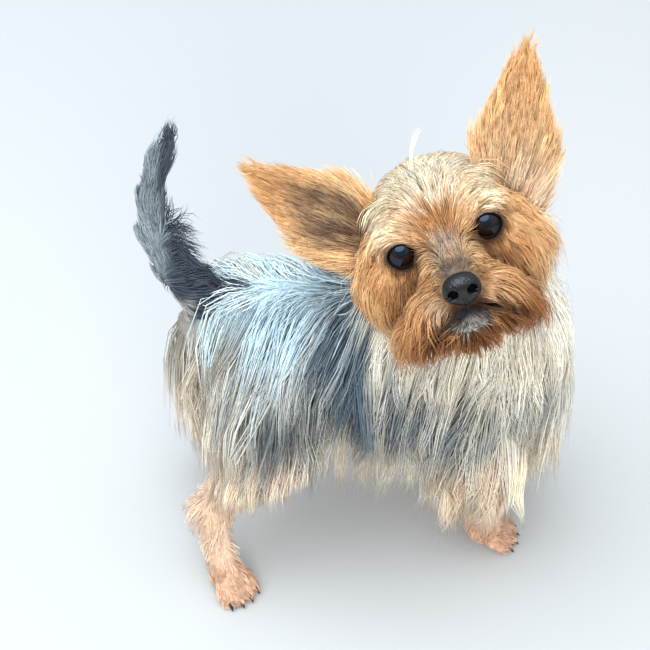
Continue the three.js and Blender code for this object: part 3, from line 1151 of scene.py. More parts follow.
def mouth_and_nape(points, q, uneven, root, tip):
    x, y, z = q.T
    # The lips' edge is black, and the dark hair along the mouth, reaching further on the right side, is also
    # painted shade under the moustache.
    line_reach = np.where(y < 0, 7.5, 5.5)
    line = smoothstep(line_reach, 0.35 * line_reach, mouth_distance(points)) * smoothstep(2, 10, x)
    line = np.maximum(line, smoothstep(3.4, 1.4, mouth_in_front(q) + uneven) * smoothstep(8, 16, x))
    root = mix(root, UMBRA, line * 0.95)
    tip = mix(tip, mix(BROWN, UMBRA, 0.5), line * 0.85)
    lip = np.linalg.norm((q - LIP_PLACE) / LIP_SIZE, axis=1)
    on_lip = smoothstep(1.35, 1.0, lip)
    root = mix(root, INK, on_lip * 0.9)
    tip = mix(tip, INK, on_lip * 0.8)
    tip = mix(tip, WHITE, on_lip * smoothstep(-31.0, -34.0, z + 2 * uneven) * 0.95)
    # Painted shade on the lower right cheek.
    shaded = smoothstep(-26, -36, y) * smoothstep(-6, -18, z)
    tip = mix(tip, mix(TAN, BROWN, 0.2), shaded * np.clip(0.5 + 0.4 * uneven, 0, 1))
    nape = smoothstep(-34, -56, x)
    return mix(root, TAN, nape * 0.5), mix(tip, SAND, nape * 0.5)


def head_colours(points):
    q = dog_to_head(points)
    uneven = waves_at(points, 17, 8)
    root, tip = flat_colour(TAN, len(q)), flat_colour(GOLD, len(q))
    for rules in (crown_and_brow, cheeks_and_muzzle, eyes_and_bridge, nose_and_jaw):
        root, tip = rules(q, uneven, root, tip)
    return mouth_and_nape(points, q, uneven, root, tip)


forehead = head_colours(head_to_dog([[-10, 0, 30]]))
print("a hair of the forehead goes from", code_of(forehead[0][0]), "to", code_of(forehead[1][0]))

# %% [markdown]
# ## Markings of the ears
#
# An ear is tan behind and honey at its tip. The hollow of its open side has painted shade, dark and brown on
# the right ear, and the left one is pale at its foot, where long cream hair fills it.

# %% Colours of the ears


def ear_colours(points, ear):
    up, sideways, height, _ = ear_place(ear, dog_to_head(points))
    inner = smoothstep(-0.5, 0.5, height)
    uneven = waves_at(points, 11, 9)
    root, tip = flat_colour(TAN, len(points)), flat_colour(GOLD, len(points))
    tip = mix(tip, HONEY, smoothstep(0.35, 0.9, up) * 0.6)
    # middle is the hollow of the open side. Its brown on the right ear and the darker roots on the left one
    # are painted shade.
    middle = inner * smoothstep(1.0, 0.5, np.abs(sideways)) * smoothstep(0.95, 0.4, up)
    if ear == "ear_right":
        root = mix(root, BROWN, middle * 0.9)
        tip = mix(tip, mix(SMOKE, BROWN, 0.35), middle * np.clip(0.75 + 0.5 * uneven, 0, 1))
    else:
        root = mix(root, SMOKE, middle * 0.45)
        foot = inner * smoothstep(0.42, 0.12, up + 0.1 * uneven)
        tip = mix(tip, CREAM, foot * 0.7)
        tip = mix(tip, mix(CREAM, HONEY, 0.7), middle * np.clip(0.4 + 0.6 * uneven, 0, 1))
    return root, tip


print("ear colours for", list(EARS))

# %% [markdown]
# ## Markings of the trunk
#
# The back is pale blue and the side behind the shoulder dark steel. The flank and rump are silver and
# sand, the fringe is cream, and the bib is pale with a steel patch. Some of the pale blue is daylight on
# silky hair. Thick strands don't mirror like silk, so that part is colour here.

# %% Back and shoulder


def trunk_tip_at(rules, x, z):
    """The tip colour that rules of the trunk give to a plain steel hair, so far forward and so high."""
    level = np.zeros(1)
    plain = flat_colour(STEEL, 1)
    return code_of(rules(np.array([x]), np.array([z]), level, level, plain, plain)[1][0])


def back_and_shoulder(x, z, drift, fine, root, tip):
    # Painted sheen: the pale sky blue over the back is partly the coat's own colour and partly daylight
    # mirrored by silky hair, painted in.
    back = smoothstep(150, 174, z + 4 * drift) * smoothstep(10, -16, x - 0.5 * (z - 186))
    back = back * smoothstep(-90, -68, x)
    root = mix(root, SKY, back * 0.8)
    tip = mix(tip, SKY, back * 0.95)
    shoulder = smoothstep(-40, -12, x + 5 * fine) * smoothstep(46, 14, x - 0.25 * (z - 130) + 6 * drift)
    shoulder = shoulder * smoothstep(92, 112, z) * (1 - 0.6 * smoothstep(166, 182, z + 4 * drift))
    root = mix(root, INK, shoulder * 0.75)
    deep_steel = 0.15 + 0.55 * smoothstep(152, 124, z)
    return root, mix(tip, mix(STEEL, INK, deep_steel), shoulder * 0.95)


print("back", trunk_tip_at(back_and_shoulder, -40, 185), "and side", trunk_tip_at(back_and_shoulder, 5, 140))

# %% Flank and rump


def flank_and_rump(x, z, drift, fine, root, tip):
    flank = smoothstep(-10, -28, x) * smoothstep(170, 152, z)
    root = mix(root, UMBER, flank * np.clip(0.45 + 0.5 * drift, 0, 1))
    root = mix(root, SILVER, flank * 0.3)
    tip = mix(tip, mix(SILVER, WHITE, np.clip(0.3 + 0.6 * fine, 0, 1)), flank)
    # Painted shade under the belly: the low flank between the fringe and the thigh is darkened to slate.
    dark = smoothstep(-16, -26, x) * smoothstep(-58, -48, x) * smoothstep(152, 130, z)
    root = mix(root, SLATE, dark * 0.9)
    tip = mix(tip, SLATE, dark * 0.85)
    rump = smoothstep(-56, -74, x) * smoothstep(188, 160, z)
    root = mix(root, UMBER, rump * 0.7)
    tip = mix(tip, SAND, rump * 0.75)
    thigh = smoothstep(-44, -58, x) * smoothstep(132, 104, z)
    root = mix(root, PEACH, thigh * 0.75)
    return root, mix(tip, mix(PEACH, WHITE, np.clip(0.55 + 0.5 * fine, 0, 1)), thigh * 0.9)


print("flank", trunk_tip_at(flank_and_rump, -35, 155), "and rump", trunk_tip_at(flank_and_rump, -80, 155))

# %% Fringe and bib


def fringe_and_bib(x, z, drift, fine, root, tip):
    fringe = smoothstep(118, 100, z + 5 * fine) * smoothstep(-28, -16, x)
    root = mix(root, WHITE, fringe * 0.7)
    tip = mix(tip, mix(WHITE, GOLD, np.clip(0.4 + 0.5 * drift, 0, 0.8)), fringe)
    tip = mix(tip, SAND, fringe * smoothstep(44, 70, x) * np.clip(0.25 + 0.6 * fine, 0, 1))
    bib = smoothstep(8, 26, x - 0.1 * (z - 130) + 6 * fine)
    bib_root = mix(SAND, SLATE, np.clip(0.5 + 0.6 * drift, 0, 1))
    bib_tip = mix(RUFF, SILVER, np.clip(0.5 + 0.7 * fine, 0, 1))
    steel = smoothstep(90, 102, z) * smoothstep(152, 134, z) * smoothstep(78, 62, x)
    bib_root = mix(bib_root, SLATE, steel * 0.6)
    bib_tip = mix(bib_tip, STEEL, steel * np.clip(0.5 + 0.45 * drift, 0, 1))
    bib = bib * smoothstep(84, 108, z)
    return mix(root, bib_root, bib), mix(tip, bib_tip, bib)


print("fringe", trunk_tip_at(fringe_and_bib, 0, 98), "and bib", trunk_tip_at(fringe_and_bib, 85, 140))

# %% Throat and whole trunk


def body_colours(points):
    x, _, z = points.T
    drift = waves_at(points, 38, 3)
    fine = waves_at(points, 15, 4)
    root, tip = flat_colour(STEEL, len(points)), flat_colour(PEWTER, len(points))
    for rules in (back_and_shoulder, flank_and_rump, fringe_and_bib):
        root, tip = rules(x, z, drift, fine, root, tip)
    throat = smoothstep(136, 156, z + 5 * fine) * smoothstep(4, 20, x)
    root = mix(root, RUFF, throat * 0.8)
    tip = mix(tip, mix(WHITE, CREAM, 0.7), throat * 0.85)
    q = dog_to_head(points)
    fall = smoothstep(-12, -24, q[:, 1]) * smoothstep(-66, -50, q[:, 2] + 5 * fine)
    fall = fall * smoothstep(-42, -18, q[:, 0])
    return mix(root, TAN, fall * 0.8), mix(tip, mix(GOLD, CREAM, 0.3), fall * 0.9)


def neck_colours(points):
    x, y, z = points.T
    root, tip = body_colours(points)
    front = smoothstep(14, -8, y) * smoothstep(150, 168, z) * smoothstep(-6, 14, x)
    root = mix(root, RUFF, front * 0.8)
    tip = mix(tip, mix(WHITE, CREAM, 0.5), front)
    high = smoothstep(200, 226, z)
    return mix(root, SAND, high * 0.6), mix(tip, RUFF, high * 0.7)


saddle = body_colours(np.array([[-40.0, 0, 185]]))
print("a hair of the back goes from", code_of(saddle[0][0]), "to", code_of(saddle[1][0]))

# %% [markdown]
# ## Markings of legs and tail
#
# The legs are peach and a little darker at the paws. The tail is the darkest blue of the dog, darker
# inside its curve. The last function asks the right rules for each point and blends leg into trunk.

# %% Colours of legs and tail


def leg_colours(points):
    low = smoothstep(34, 12, points[:, 2])
    return mix(PEACH, PAW, 0.4 + 0.6 * low), mix(PEACH, PAW, low * 0.8)


def tail_colours(points):
    under = smoothstep(-99, -92, points[:, 0])
    root = mix(TAIL_BLUE, TAIL_DARK, 0.3 + 0.7 * under)
    tip = mix(PEWTER, TAIL_DARK, 0.25 + 0.7 * under)
    tuft = smoothstep(188, 176, points[:, 2]) * smoothstep(-80, -88, points[:, 0])
    return root, mix(tip, WHITE, tuft * 0.6)


print("a hair of the paw ends in", code_of(leg_colours(np.array([[0.0, 0, 5]]))[1][0]))

# %% All markings


def markings(points, label):
    """Root and tip colour of the hair at each point, from its group."""
    root = np.zeros((len(points), 3))
    tip = np.zeros((len(points), 3))
    for number, name in enumerate(group_names):
        here = label == number
        if not here.any():
            continue
        if name in ("head", "muzzle"):
            pair = head_colours(points[here])
        elif name in EARS:
            pair = ear_colours(points[here], name)
        elif name == "neck":
            pair = neck_colours(points[here])
        elif name == "trunk":
            pair = body_colours(points[here])
        elif name == "tail":
            pair = tail_colours(points[here])
        else:
            blend = smoothstep(84, 112, points[here][:, 2])
            legs = leg_colours(points[here])
            body = body_colours(points[here])
            pair = [mix(a, b, blend) for a, b in zip(legs, body)]
        root[here], tip[here] = pair
    return root, tip


skin_root, skin_tip = markings(skin_points, skin_group)
print("mean of all markings from", code_of(skin_root.mean(0)), "to", code_of(skin_tip.mean(0)))

# %% [markdown]
# ## Colour of the skin
#
# Under the coat the skin takes the colour of the hair, a little darker. The lip is grey, and the line of the
# mouth, the leather round the nose and the lids are black.

# %% Colour of the skin
skin_colours = (skin_root * 0.6 + skin_tip * 0.4) * 0.85
head_points = dog_to_head(skin_points)
lower_lip = np.linalg.norm((head_points - LIP_PLACE) / LIP_SIZE, axis=1)
skin_colours = mix(skin_colours, shade("77706B"), smoothstep(1.1, 0.6, lower_lip))
skin_colours = mix(skin_colours, shade("0E0A09"), smoothstep(3.0, 1.9, mouth_distance(skin_points)))
under_nose = np.linalg.norm((head_points - [33, 0, -13.5]) / [9, 8.5, 8], axis=1)
skin_colours = mix(skin_colours, shade("060505"), smoothstep(1.05, 0.9, under_nose))
skin_colours = mix(skin_colours, shade("120C0A"), smoothstep(10.1, 9.2, eye_distance(head_points)))
paint(skin, "tint", skin_colours)
print("mean colour of the skin", code_of(skin_colours.mean(0)))

# %% [markdown]
# ## Roots
#
# Hair grows from the skin at an even density. Blender's particle hair could be strewn over it, but it
# isn't a mesh that another program reads. So roots are drawn at random over the skin's triangles, each
# triangle with a chance as large as its area.

# %% Roots
rng = np.random.default_rng(20)
SHARE = 1.0
FEWEST_STRANDS = 60
triangles = np.concatenate([skin_faces[:, [0, 1, 2]], skin_faces[:, [0, 2, 3]]])
tri_corner = skin_points[triangles]
tri_cross = np.cross(tri_corner[:, 1] - tri_corner[:, 0], tri_corner[:, 2] - tri_corner[:, 0])
tri_area = np.linalg.norm(tri_cross, axis=1) / 2
tri_middle = tri_corner.mean(1)
tri_out = unit(skin_out[triangles].sum(1))
tri_group = skin_group[triangles[:, 0]]


def in_groups(*names):
    """Marks the triangles of some groups."""
    return np.isin(tri_group, [group_names.index(n) for n in names])


def scatter(where, count):
    """Roots strewn over the triangles marked by where, with the way out and the group of each."""
    weight = tri_area * where
    count = max(FEWEST_STRANDS, int(count * SHARE))
    pick = rng.choice(len(weight), size=count, p=weight / weight.sum())
    a, b = rng.random((2, count))
    over = a + b > 1
    a[over], b[over] = 1 - a[over], 1 - b[over]
    corner = tri_corner[pick]
    points = corner[:, 0] + a[:, None] * (corner[:, 1] - corner[:, 0])
    points = points + b[:, None] * (corner[:, 2] - corner[:, 0])
    return points, tri_out[pick], tri_group[pick]


print("skin of", round(float(tri_area.sum()) / 100), "square centimetres")

# %% [markdown]
# ## Combing
#
# A strand is led along the lie of the coat, step by step. Gravity pulls it down and the field keeps it
# off the body. Where it leaves the body's side it hangs free. All strands of a piece take each step
# together, which keeps ten thousand of them to a few seconds.

# %% Combing
DOWN = np.array([0, 0, -1.0])
ROOT_DEPTH = 0.5
LEAST_GAP = 0.35
LOWEST = 0.8


def along_skin(ways, out):
    """Directions laid flat on the skin."""
    return unit(ways - (ways * out).sum(-1, keepdims=True) * out)


def comb(roots, out, length, lie, lift, steps, gravity, follow, layer, hug=0.0, hang=0.0):
    """Paths of all strands, one row of points each.

    Lie is a rule for the way of the hair and lift its angle off the skin, in radians. Follow is how
    quickly a strand turns to the lie and layer how far its end stands off. Hug draws it to the body, and
    hang lets it fall where the body turns under.
    """
    count = len(roots)
    path = np.empty((count, steps + 1, 3))
    path[:, 0] = roots - out * ROOT_DEPTH
    ways = along_skin(lie(roots, out), out)
    heading = unit(ways * np.cos(lift)[:, None] + out * np.sin(lift)[:, None])
    spot = roots.copy()
    step = (length / steps)[:, None]
    for s in range(1, steps + 1):
        spot = spot + heading * step
        near = read_field(spot)
        slope = way_out(spot)
        want = LEAST_GAP + layer * smoothstep(0, 0.7, s / steps)
        short = np.clip(want - near, 0, None)
        spot = spot + slope * short[:, None]
        free = hang * smoothstep(0.25, -0.25, slope[:, 2])
        if hug:
            over = np.clip(near - want - 1.5, 0, 6) * hug * (1 - free)
            spot = spot - slope * over[:, None]
        spot[:, 2] = np.maximum(spot[:, 2], LOWEST)
        path[:, s] = spot
        ways = along_skin(lie(spot, slope), slope)
        ways = ways * (1 - free)[:, None] + DOWN * free[:, None]
        heading = unit(heading * (1 - follow) + ways * follow + DOWN * gravity)
    return path


print("a strand starts", ROOT_DEPTH, "mm under the skin")

# %% [markdown]
# ## Locks
#
# Silky hair hangs together in locks. Without them a coat looks like a brush. Some strands are chosen
# as guides, and each strand is drawn towards the nearest one, a little at its root and most at its tip.
# A slow wave for each lock does the rest.

# %% Locks
FEWEST_LOCKS = 4


def lock_count(roots, size):
    """Number of locks for so many strands in a lock."""
    return max(FEWEST_LOCKS, len(roots) // size)


def gather(path, strength):
    """Draws each strand to the nearest of some guides, and tells which. Strength is one value a guide."""
    guide_rows = rng.choice(len(path), size=len(strength), replace=False)
    tree = kdtree.KDTree(len(guide_rows))
    for i, row in enumerate(guide_rows):
        tree.insert(path[row, 0], i)
    tree.balance()
    nearest = np.array([tree.find(p)[1] for p in path[:, 0]])
    guide = path[guide_rows[nearest]]
    share = np.linspace(0, 1, path.shape[1])[None, :]
    pull = strength[nearest][:, None] * smoothstep(0.0, 1.0, share) ** 0.8
    return guide + (path - guide) * (1 - pull)[..., None], nearest


def ripple(path, height, waves, phase, side):
    """Waves across the strands that grow towards the tip."""
    share = np.linspace(0, 1, path.shape[1])[None, :]
    swing = np.sin(2 * math.pi * share * waves[:, None] + phase[:, None]) - np.sin(phase)[:, None]
    return path + side[:, None, :] * (swing * share * height[:, None])[..., None]


print("at least", FEWEST_LOCKS, "locks in each piece of coat")

# %% [markdown]
# ## From paths to strands
#
# A strand is a closed three-sided body that tapers to a point. Flat ribbons would vanish edge-on and
# curves aren't meshes, and three sides are the fewest that close. Each strand has a patch of the map
# OFBake, at its root's place on an unwrap of the skin's own shape, so that a baked picture stays whole.
# A strand that would leave the frame's box by more than a few millimetres is left out.

# %% Shape of one strand
STRAND_TURNS = (90, 210, 330)
STRAND_WIDTH = 1.15
STRAND_FLAT = 0.45
TAPER_FROM = 0.45
PATCH = 0.003


def strand_points(path, out, width):
    """Three points round each strand at each step but the last, and then its tip."""
    count, rings = path.shape[:2]
    ways = unit(np.gradient(path, axis=1))
    side = unit(np.cross(ways, out[:, None, :]) + 1e-6)
    up = np.cross(side, ways)
    profile = 1 - 0.82 * smoothstep(TAPER_FROM, 1.0, np.linspace(0, 1, rings))
    profile[0] = 0.8
    half = (width[:, None] * profile / 2)[:, :-1]
    corners = []
    for turn in STRAND_TURNS:
        a = math.radians(turn)
        offset = side[:, :-1] * (math.cos(a) * STRAND_WIDTH) * half[..., None]
        offset = offset + up[:, :-1] * (math.sin(a) * STRAND_FLAT * 2) * half[..., None]
        corners.append(path[:, :-1] + offset)
    points = np.empty((count, (rings - 1) * 3 + 1, 3))
    points[:, :-1] = np.stack(corners, 2).reshape(count, -1, 3)
    points[:, -1] = path[:, -1]
    return points


def strand_faces(steps):
    """The four-sided faces along one strand, then the three at its tip and the one at its root."""
    quads = []
    for s in range(steps - 1):
        for c in range(3):
            d = (c + 1) % 3
            quads.append((s * 3 + c, s * 3 + d, s * 3 + 3 + d, s * 3 + 3 + c))
    last = (steps - 1) * 3
    ends = [(last + c, last + (c + 1) % 3, last + 3) for c in range(3)]
    ends.append((2, 1, 0))
    return np.array(quads, np.int32), np.array(ends, np.int32)


def strand_map(steps):
    """Map places for the same faces in a square: round the strand is across, and root to tip is up."""
    quad_u = np.tile(np.array([0, 1, 1, 0], float), 3 * (steps - 1))
    quad_c = np.repeat(np.tile(np.arange(3), steps - 1), 4)
    quad_v = np.concatenate([np.array([s, s, s + 1, s + 1]) for s in range(steps - 1) for _ in range(3)])
    end_u = np.array([0, 1, 0.5, 1, 2, 1.5, 2, 3, 2.5, 0, 1.5, 3], float) / 3
    end_v = np.array([steps - 1, steps - 1, steps] * 3 + [0, 0.3, 0], float) / steps
    return np.stack([(quad_c + quad_u) / 3, quad_v / steps], -1), np.stack([end_u, end_v], -1)


print("a strand of 4 steps has", [len(faces) for faces in strand_faces(4)], "faces")

# %% Pieces of coat
MOST_TRIANGLES = 198000
PAST_BOX = 0.008
coat_pieces = []


def spread_range(values):
    """Values spread to the range from 0 to 1."""
    low, high = values.min(), values.max()
    return (values - low) / max(high - low, 1e-6)


def make_coat(name, path, out, width, tints, unwrap):
    """One mesh of all strands of a piece, with colours and map."""
    placed = to_file(path)
    kept = (placed > np.array(solid_low) - PAST_BOX) & (placed < np.array(solid_high) + PAST_BOX)
    kept = kept.all((1, 2))
    path, out, width, tints, unwrap = path[kept], out[kept], width[kept], tints[kept], unwrap[kept]
    count = len(path)
    steps = path.shape[1] - 1
    points = strand_points(path, out, width)
    quads, ends = strand_faces(steps)
    start = (np.arange(count, dtype=np.int32) * points.shape[1])[:, None, None]
    all_quads = (start + quads[None]).reshape(-1, 4)
    all_ends = (start + ends[None]).reshape(-1, 3)
    thing = fill_mesh(name, points.reshape(-1, 3), all_quads, all_ends)
    ring_of = np.append(np.repeat(np.arange(steps), 3), steps)
    paint(thing, "tint", tints[:, ring_of].reshape(-1, 3))
    centre = 0.02 + 0.96 * unwrap
    places = [(centre[:, None] + (square[None] - 0.5) * PATCH).reshape(-1, 2) for square in strand_map(steps)]
    layer = thing.data.uv_layers.new(name="OFBake")
    layer.data.foreach_set("uv", np.concatenate(places).astype(np.float32).ravel())
    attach(thing, "root")
    total = count * (2 * len(quads) + len(ends))
    print(f"{name}: {count} strands, {total} triangles, {(~kept).sum()} left out")
    if total > MOST_TRIANGLES:
        raise ValueError(name + " has too many triangles")
    coat_pieces.append(thing)
    return thing


print("a piece holds up to", MOST_TRIANGLES, "triangles")

# %% [markdown]
# ## Colour along a strand
#
# A long hair crosses several markings on its way down, and light and dark patches of a coat lie where
# the hair ends up. So each ring of a strand takes the markings of its own place, moved a little for
# each lock, since real borders run in locks. Small changes from strand to strand keep it lively. The
# place of a root in the map comes from its angle round the trunk or head and its place along it.

# %% Colour along a strand


def tints_along(path, label, lock, amount=0.1, lock_amount=0.12, dark_share=0.0, pale=0.0, stray=1.2):
    """Colour of every ring, from the markings where it lies.

    Tones change by amount from strand to strand and by lock_amount from lock to lock. A dark_share of
    the strands is dark, some locks are paler by up to pale, and stray moves the borders, in millimetres.
    """
    count, rings = path.shape[:2]
    tints = np.empty((count, rings, 3))
    moved = rng.normal(0, stray, (lock.max() + 1, 3))[lock] + rng.normal(0, stray * 0.5, (count, 3))
    for ring in range(rings):
        root_tint, tip_tint = markings(path[:, ring] + moved, label)
        tints[:, ring] = mix(root_tint, tip_tint, np.full(count, min(1.0, 0.1 + 1.1 * ring / (rings - 1))))
    by_lock = rng.normal(0, lock_amount, lock.max() + 1)[lock]
    tone = np.clip(np.exp(rng.normal(0, amount, count) + by_lock), 0.55, 1.7)
    tints = np.clip(tints * tone[:, None, None], 0, 1)
    if pale:
        paler = (np.clip(rng.normal(0, 0.5, lock.max() + 1), 0, 1) * pale)[lock]
        paler = paler[:, None] * smoothstep(0.16, 0.42, tints.mean(2))
        tints = mix(tints, WHITE, paler)
    if dark_share:
        tints[rng.random(count) < dark_share] *= 0.3
    return tints


def around_trunk(points):
    """Unwrap of the trunk: along it and round it."""
    angle = np.arctan2(points[:, 1] - 3, points[:, 2] - 140)
    return np.stack([spread_range(points[:, 0]), spread_range(angle)], -1)


def around_head(points):
    """Unwrap of the head: round the way out of the face, and towards it."""
    q = dog_to_head(points) - [-25, 0, -8]
    angle = np.arctan2(q[:, 1], q[:, 2])
    tilt = np.arctan2(q[:, 0], np.hypot(q[:, 1], q[:, 2]))
    return np.stack([spread_range(angle), spread_range(tilt)], -1)


print("the unwrap of the whole skin reaches", around_trunk(skin_points).max(0))

# %% [markdown]
# ## The face
#
# Hair leaves the nose in all directions: up the bridge to the crown, out over the cheeks and down into
# the moustache and beard. Near an eye it turns away from the eye, so that the eye stays free. It is a
# few millimetres long at the nose and eyes and about 30 on the cheeks. Three rules say this for any
# place: which way the hair lies, how long it is and how far it stands off.

# %% Lie of the face
SNOUT = [34, 0, -12]


def face_lie(points, out):
    q = dog_to_head(points)
    x, y, z = q.T
    wide = np.abs(y)
    side = np.tanh(y / 4)
    fall = smoothstep(2, 34, 1.3 * wide - 0.55 * z + 1.2 * np.clip(-16 - z, 0, None))
    ways = np.stack([
        -0.3 - 0.6 * smoothstep(14, 28, z) * (1 - fall),
        side * (0.25 + 0.7 * smoothstep(2, 14, wide) * (1 - fall) + 1.0 * np.sin(np.pi * fall)),
        1.0 - 2.05 * fall,
    ], -1)
    behind = smoothstep(-30, -56, x)
    ways = ways * (1 - behind)[:, None] + (np.array([-0.35, 0, -1.0]) + ways * 0.3) * behind[:, None]
    for eye_side in (-1, 1):
        away = q - eye_centre(eye_side)
        gap = np.linalg.norm(away, axis=1, keepdims=True)
        push = np.exp(-(((gap - 9) / 5.5) ** 2)) * 1.6
        ways = ways + away / gap * push
    lip_way = np.stack([-0.3 * np.ones(len(q)), side * 1.3, -0.45 - 0.3 * (y < 0)], -1)
    near_lip = smoothstep(7, 2.5, mouth_distance(points)) * smoothstep(-3, 3, z + 0.55 * wide + 27)
    ways = ways * (1 - near_lip)[:, None] + lip_way * near_lip[:, None]
    return turned(unit(ways))


print("hair on the crown lies along", np.round(face_lie(head_to_dog([[-10, 0, 30]]), None)[0], 2))

# %% Length and depth of the face


def face_lengths(points):
    q = dog_to_head(points)
    x, y, z = q.T
    wide = np.abs(y)
    length = np.full(len(q), 17.0)
    length += 7 * smoothstep(12, 26, z) * smoothstep(30, 18, wide)
    length += 17 * smoothstep(12, 30, wide) * smoothstep(22, 4, z)
    length += 11 * smoothstep(-10, -22, z) * smoothstep(-12, 4, x)
    length += 12 * smoothstep(-20, -50, x)
    length *= 0.36 + 0.64 * smoothstep(9, 22, eye_distance(q))
    snout = np.linalg.norm(q - SNOUT, axis=1)
    length *= 0.33 + 0.67 * smoothstep(8, 22, snout)
    length *= 1 - 0.4 * smoothstep(-28, -36, z) - 0.2 * smoothstep(-6, -16, y) * smoothstep(-24, -32, z)
    length = np.where(np.linalg.norm((q - LIP_PLACE) / LIP_SIZE, axis=1) < 1.15, 3.2, length)
    return length


def face_depth(points):
    """How far the outermost hair stands off the skin."""
    q = dog_to_head(points)
    x, y, z = q.T
    wide = np.abs(y)
    snout = np.linalg.norm(q - SNOUT, axis=1)
    deep = 3.5 + 12 * smoothstep(14, 36, wide) * smoothstep(24, 2, z)
    deep += 4 * smoothstep(-24, -48, x) - 1.4 * smoothstep(4, 16, z)
    deep += 6 * smoothstep(-16, -30, z)
    return deep * smoothstep(9.5, 26, eye_distance(q)) * (0.12 + 0.88 * smoothstep(7, 26, snout))


cheek = head_to_dog([[-15, 34, -10]])
print("hair on the cheek is", round(float(face_lengths(cheek)[0])), "mm long")

# %% Growing the face


def grow_face(name, where, count, width, dark_share=0.0):
    roots, out, label = scatter(where, count)
    length = face_lengths(roots) * rng.uniform(0.6, 1.2, len(roots))
    q = dog_to_head(roots)
    lift = rng.uniform(0.1, 0.45, len(roots)) * smoothstep(8.5, 16, eye_distance(q))
    lift *= 1 - 0.6 * smoothstep(4, 14, q[:, 2])
    layer = 0.2 + face_depth(roots) * rng.uniform(0.0, 1.0, len(roots)) ** 0.8
    path = comb(roots, out, length, face_lie, lift, 4, 0.07, 0.45, layer)
    guides = lock_count(roots, 12)
    path, lock = gather(path, rng.uniform(0.05, 0.6, guides))
    side = unit(np.cross(path[:, -1] - path[:, 0], out))
    swing = rng.normal(0, 0.07, guides)[lock] + rng.normal(0, 0.025, len(roots))
    phase = rng.uniform(0, 6.3, guides)[lock]
    path = ripple(path, swing * length, np.full(len(roots), 0.6), phase, side)
    tints = tints_along(path, label, lock, 0.12, 0.11, dark_share)
    size = width * rng.uniform(0.7, 1.3, len(roots)) * (0.65 + 0.35 * smoothstep(6, 16, length))
    make_coat(name, path, out, size, tints, around_head(roots))


lid_gap = np.minimum(eye_opening(-1).distance(tri_middle), eye_opening(1).distance(tri_middle))
on_face = in_groups("head", "muzzle") & (lid_gap > 1.15)
tri_head = dog_to_head(tri_middle)
nose_gap = np.linalg.norm((tri_head - [33, 0, -13.5]) / [9, 9.0, 8.0], axis=1)
on_face &= nose_gap > 0.93
on_face &= mouth_distance(tri_middle) > 2.0 * smoothstep(14, 9, np.abs(tri_head[:, 1]))
front = tri_head[:, 0] > -28
lower = tri_head[:, 2] < -4 - 0.15 * np.abs(tri_head[:, 1])
right = tri_head[:, 1] < 0
grow_face("coat_forehead", on_face & front & ~lower, 8000, 0.42, dark_share=0.02)
grow_face("coat_muzzle_right", on_face & front & lower & right, 5600, 0.33, dark_share=0.07)
grow_face("coat_muzzle_left", on_face & front & lower & ~right, 5600, 0.33, dark_share=0.07)
grow_face("coat_head", on_face & ~front, 5200, 0.48)
print("face coat after", round(time.perf_counter() - started, 1), "s")

# %% [markdown]
# ## The stray lock
#
# One thin pale lock sticks up from the crown and bends to the left. It is a small thing, but it makes
# the dog a certain one. A bend through three points places it, with a little scatter at each of them.

# %% Stray lock
stray_count = 14
stray_share = np.linspace(0, 1, 6)[None, :, None]
stray_line = [np.array([-20, -3, 33.0]), np.array([-25, -2, 42.0]), np.array([-24, 7, 50.0])]
stray_start = stray_line[0] + rng.normal(0, 0.5, (stray_count, 1, 3))
stray_bend = stray_line[1] + rng.normal(0, 0.7, (stray_count, 1, 3))
stray_end = stray_line[2] + rng.normal(0, 1.2, (stray_count, 1, 3))
stray = (1 - stray_share) ** 2 * stray_start + 2 * stray_share * (1 - stray_share) * stray_bend
stray = head_to_dog(stray + stray_share**2 * stray_end)
pale = np.tile(CREAM, (stray_count, 6, 1))
stray_out = np.tile(turned(np.array([1.0, 0, 0])), (stray_count, 1))
stray_width = np.full(stray_count, 0.26)
stray_unwrap = rng.uniform(0.4, 0.6, (stray_count, 2))
make_coat("coat_stray", stray, stray_out, stray_width, pale, stray_unwrap)
print("the lock ends at", np.round(stray[:, -1].mean(0)), "mm")

# %% [markdown]
# ## Ears
#
# A terrier's ears are clipped at the tip and long at the base. The hair runs from the base towards the
# tip and fans out over both edges. It lies close, so three steps to a strand are enough.

# %% Ear coat


def ear_lie(ear):
    _, along, across, _, _ = ear_axes(ear)

    def lie(points, out):
        up, sideways, _, _ = ear_place(ear, dog_to_head(points))
        fan = np.clip(sideways, -1.4, 1.4)[:, None]
        low = smoothstep(0.55, 0.0, up)[:, None]
        ways = along * (1.0 - 0.35 * low) + across * fan * (0.12 + 0.35 * low)
        return turned(unit(ways))

    return lie


for ear in EARS:
    roots, out, label = scatter(in_groups(ear), 5400)
    up, sideways, height, _ = ear_place(ear, dog_to_head(roots))
    edge = smoothstep(0.5, 1.0, np.abs(sideways))
    length = (13 + 4 * edge + 7 * smoothstep(0.5, 0.0, up)) * rng.uniform(0.65, 1.2, len(roots))
    lift = rng.uniform(0.0, 0.16, len(roots))
    layer = rng.uniform(0.1, 1.8, len(roots))
    path = comb(roots, out, length, ear_lie(ear), lift, 3, 0.02, 0.3, layer)
    path, lock = gather(path, rng.uniform(0.0, 0.75, lock_count(roots, 14)))
    side = unit(np.cross(path[:, -1] - path[:, 0], out))
    swing = rng.normal(0, 0.045, len(roots)) * length
    phase = rng.uniform(0, 6.3, len(roots))
    path = ripple(path, swing, np.full(len(roots), 0.6), phase, side)
    tints = tints_along(path, label, lock, 0.12, 0.14)
    size = 0.36 * rng.uniform(0.7, 1.3, len(roots))
    unwrap = np.stack([
        spread_range(np.clip(sideways, -1.2, 1.2)) * 0.48 + 0.5 * (height > 0),
        spread_range(up),
    ], -1)
    make_coat("coat_" + ear, path, out, size, tints, unwrap)
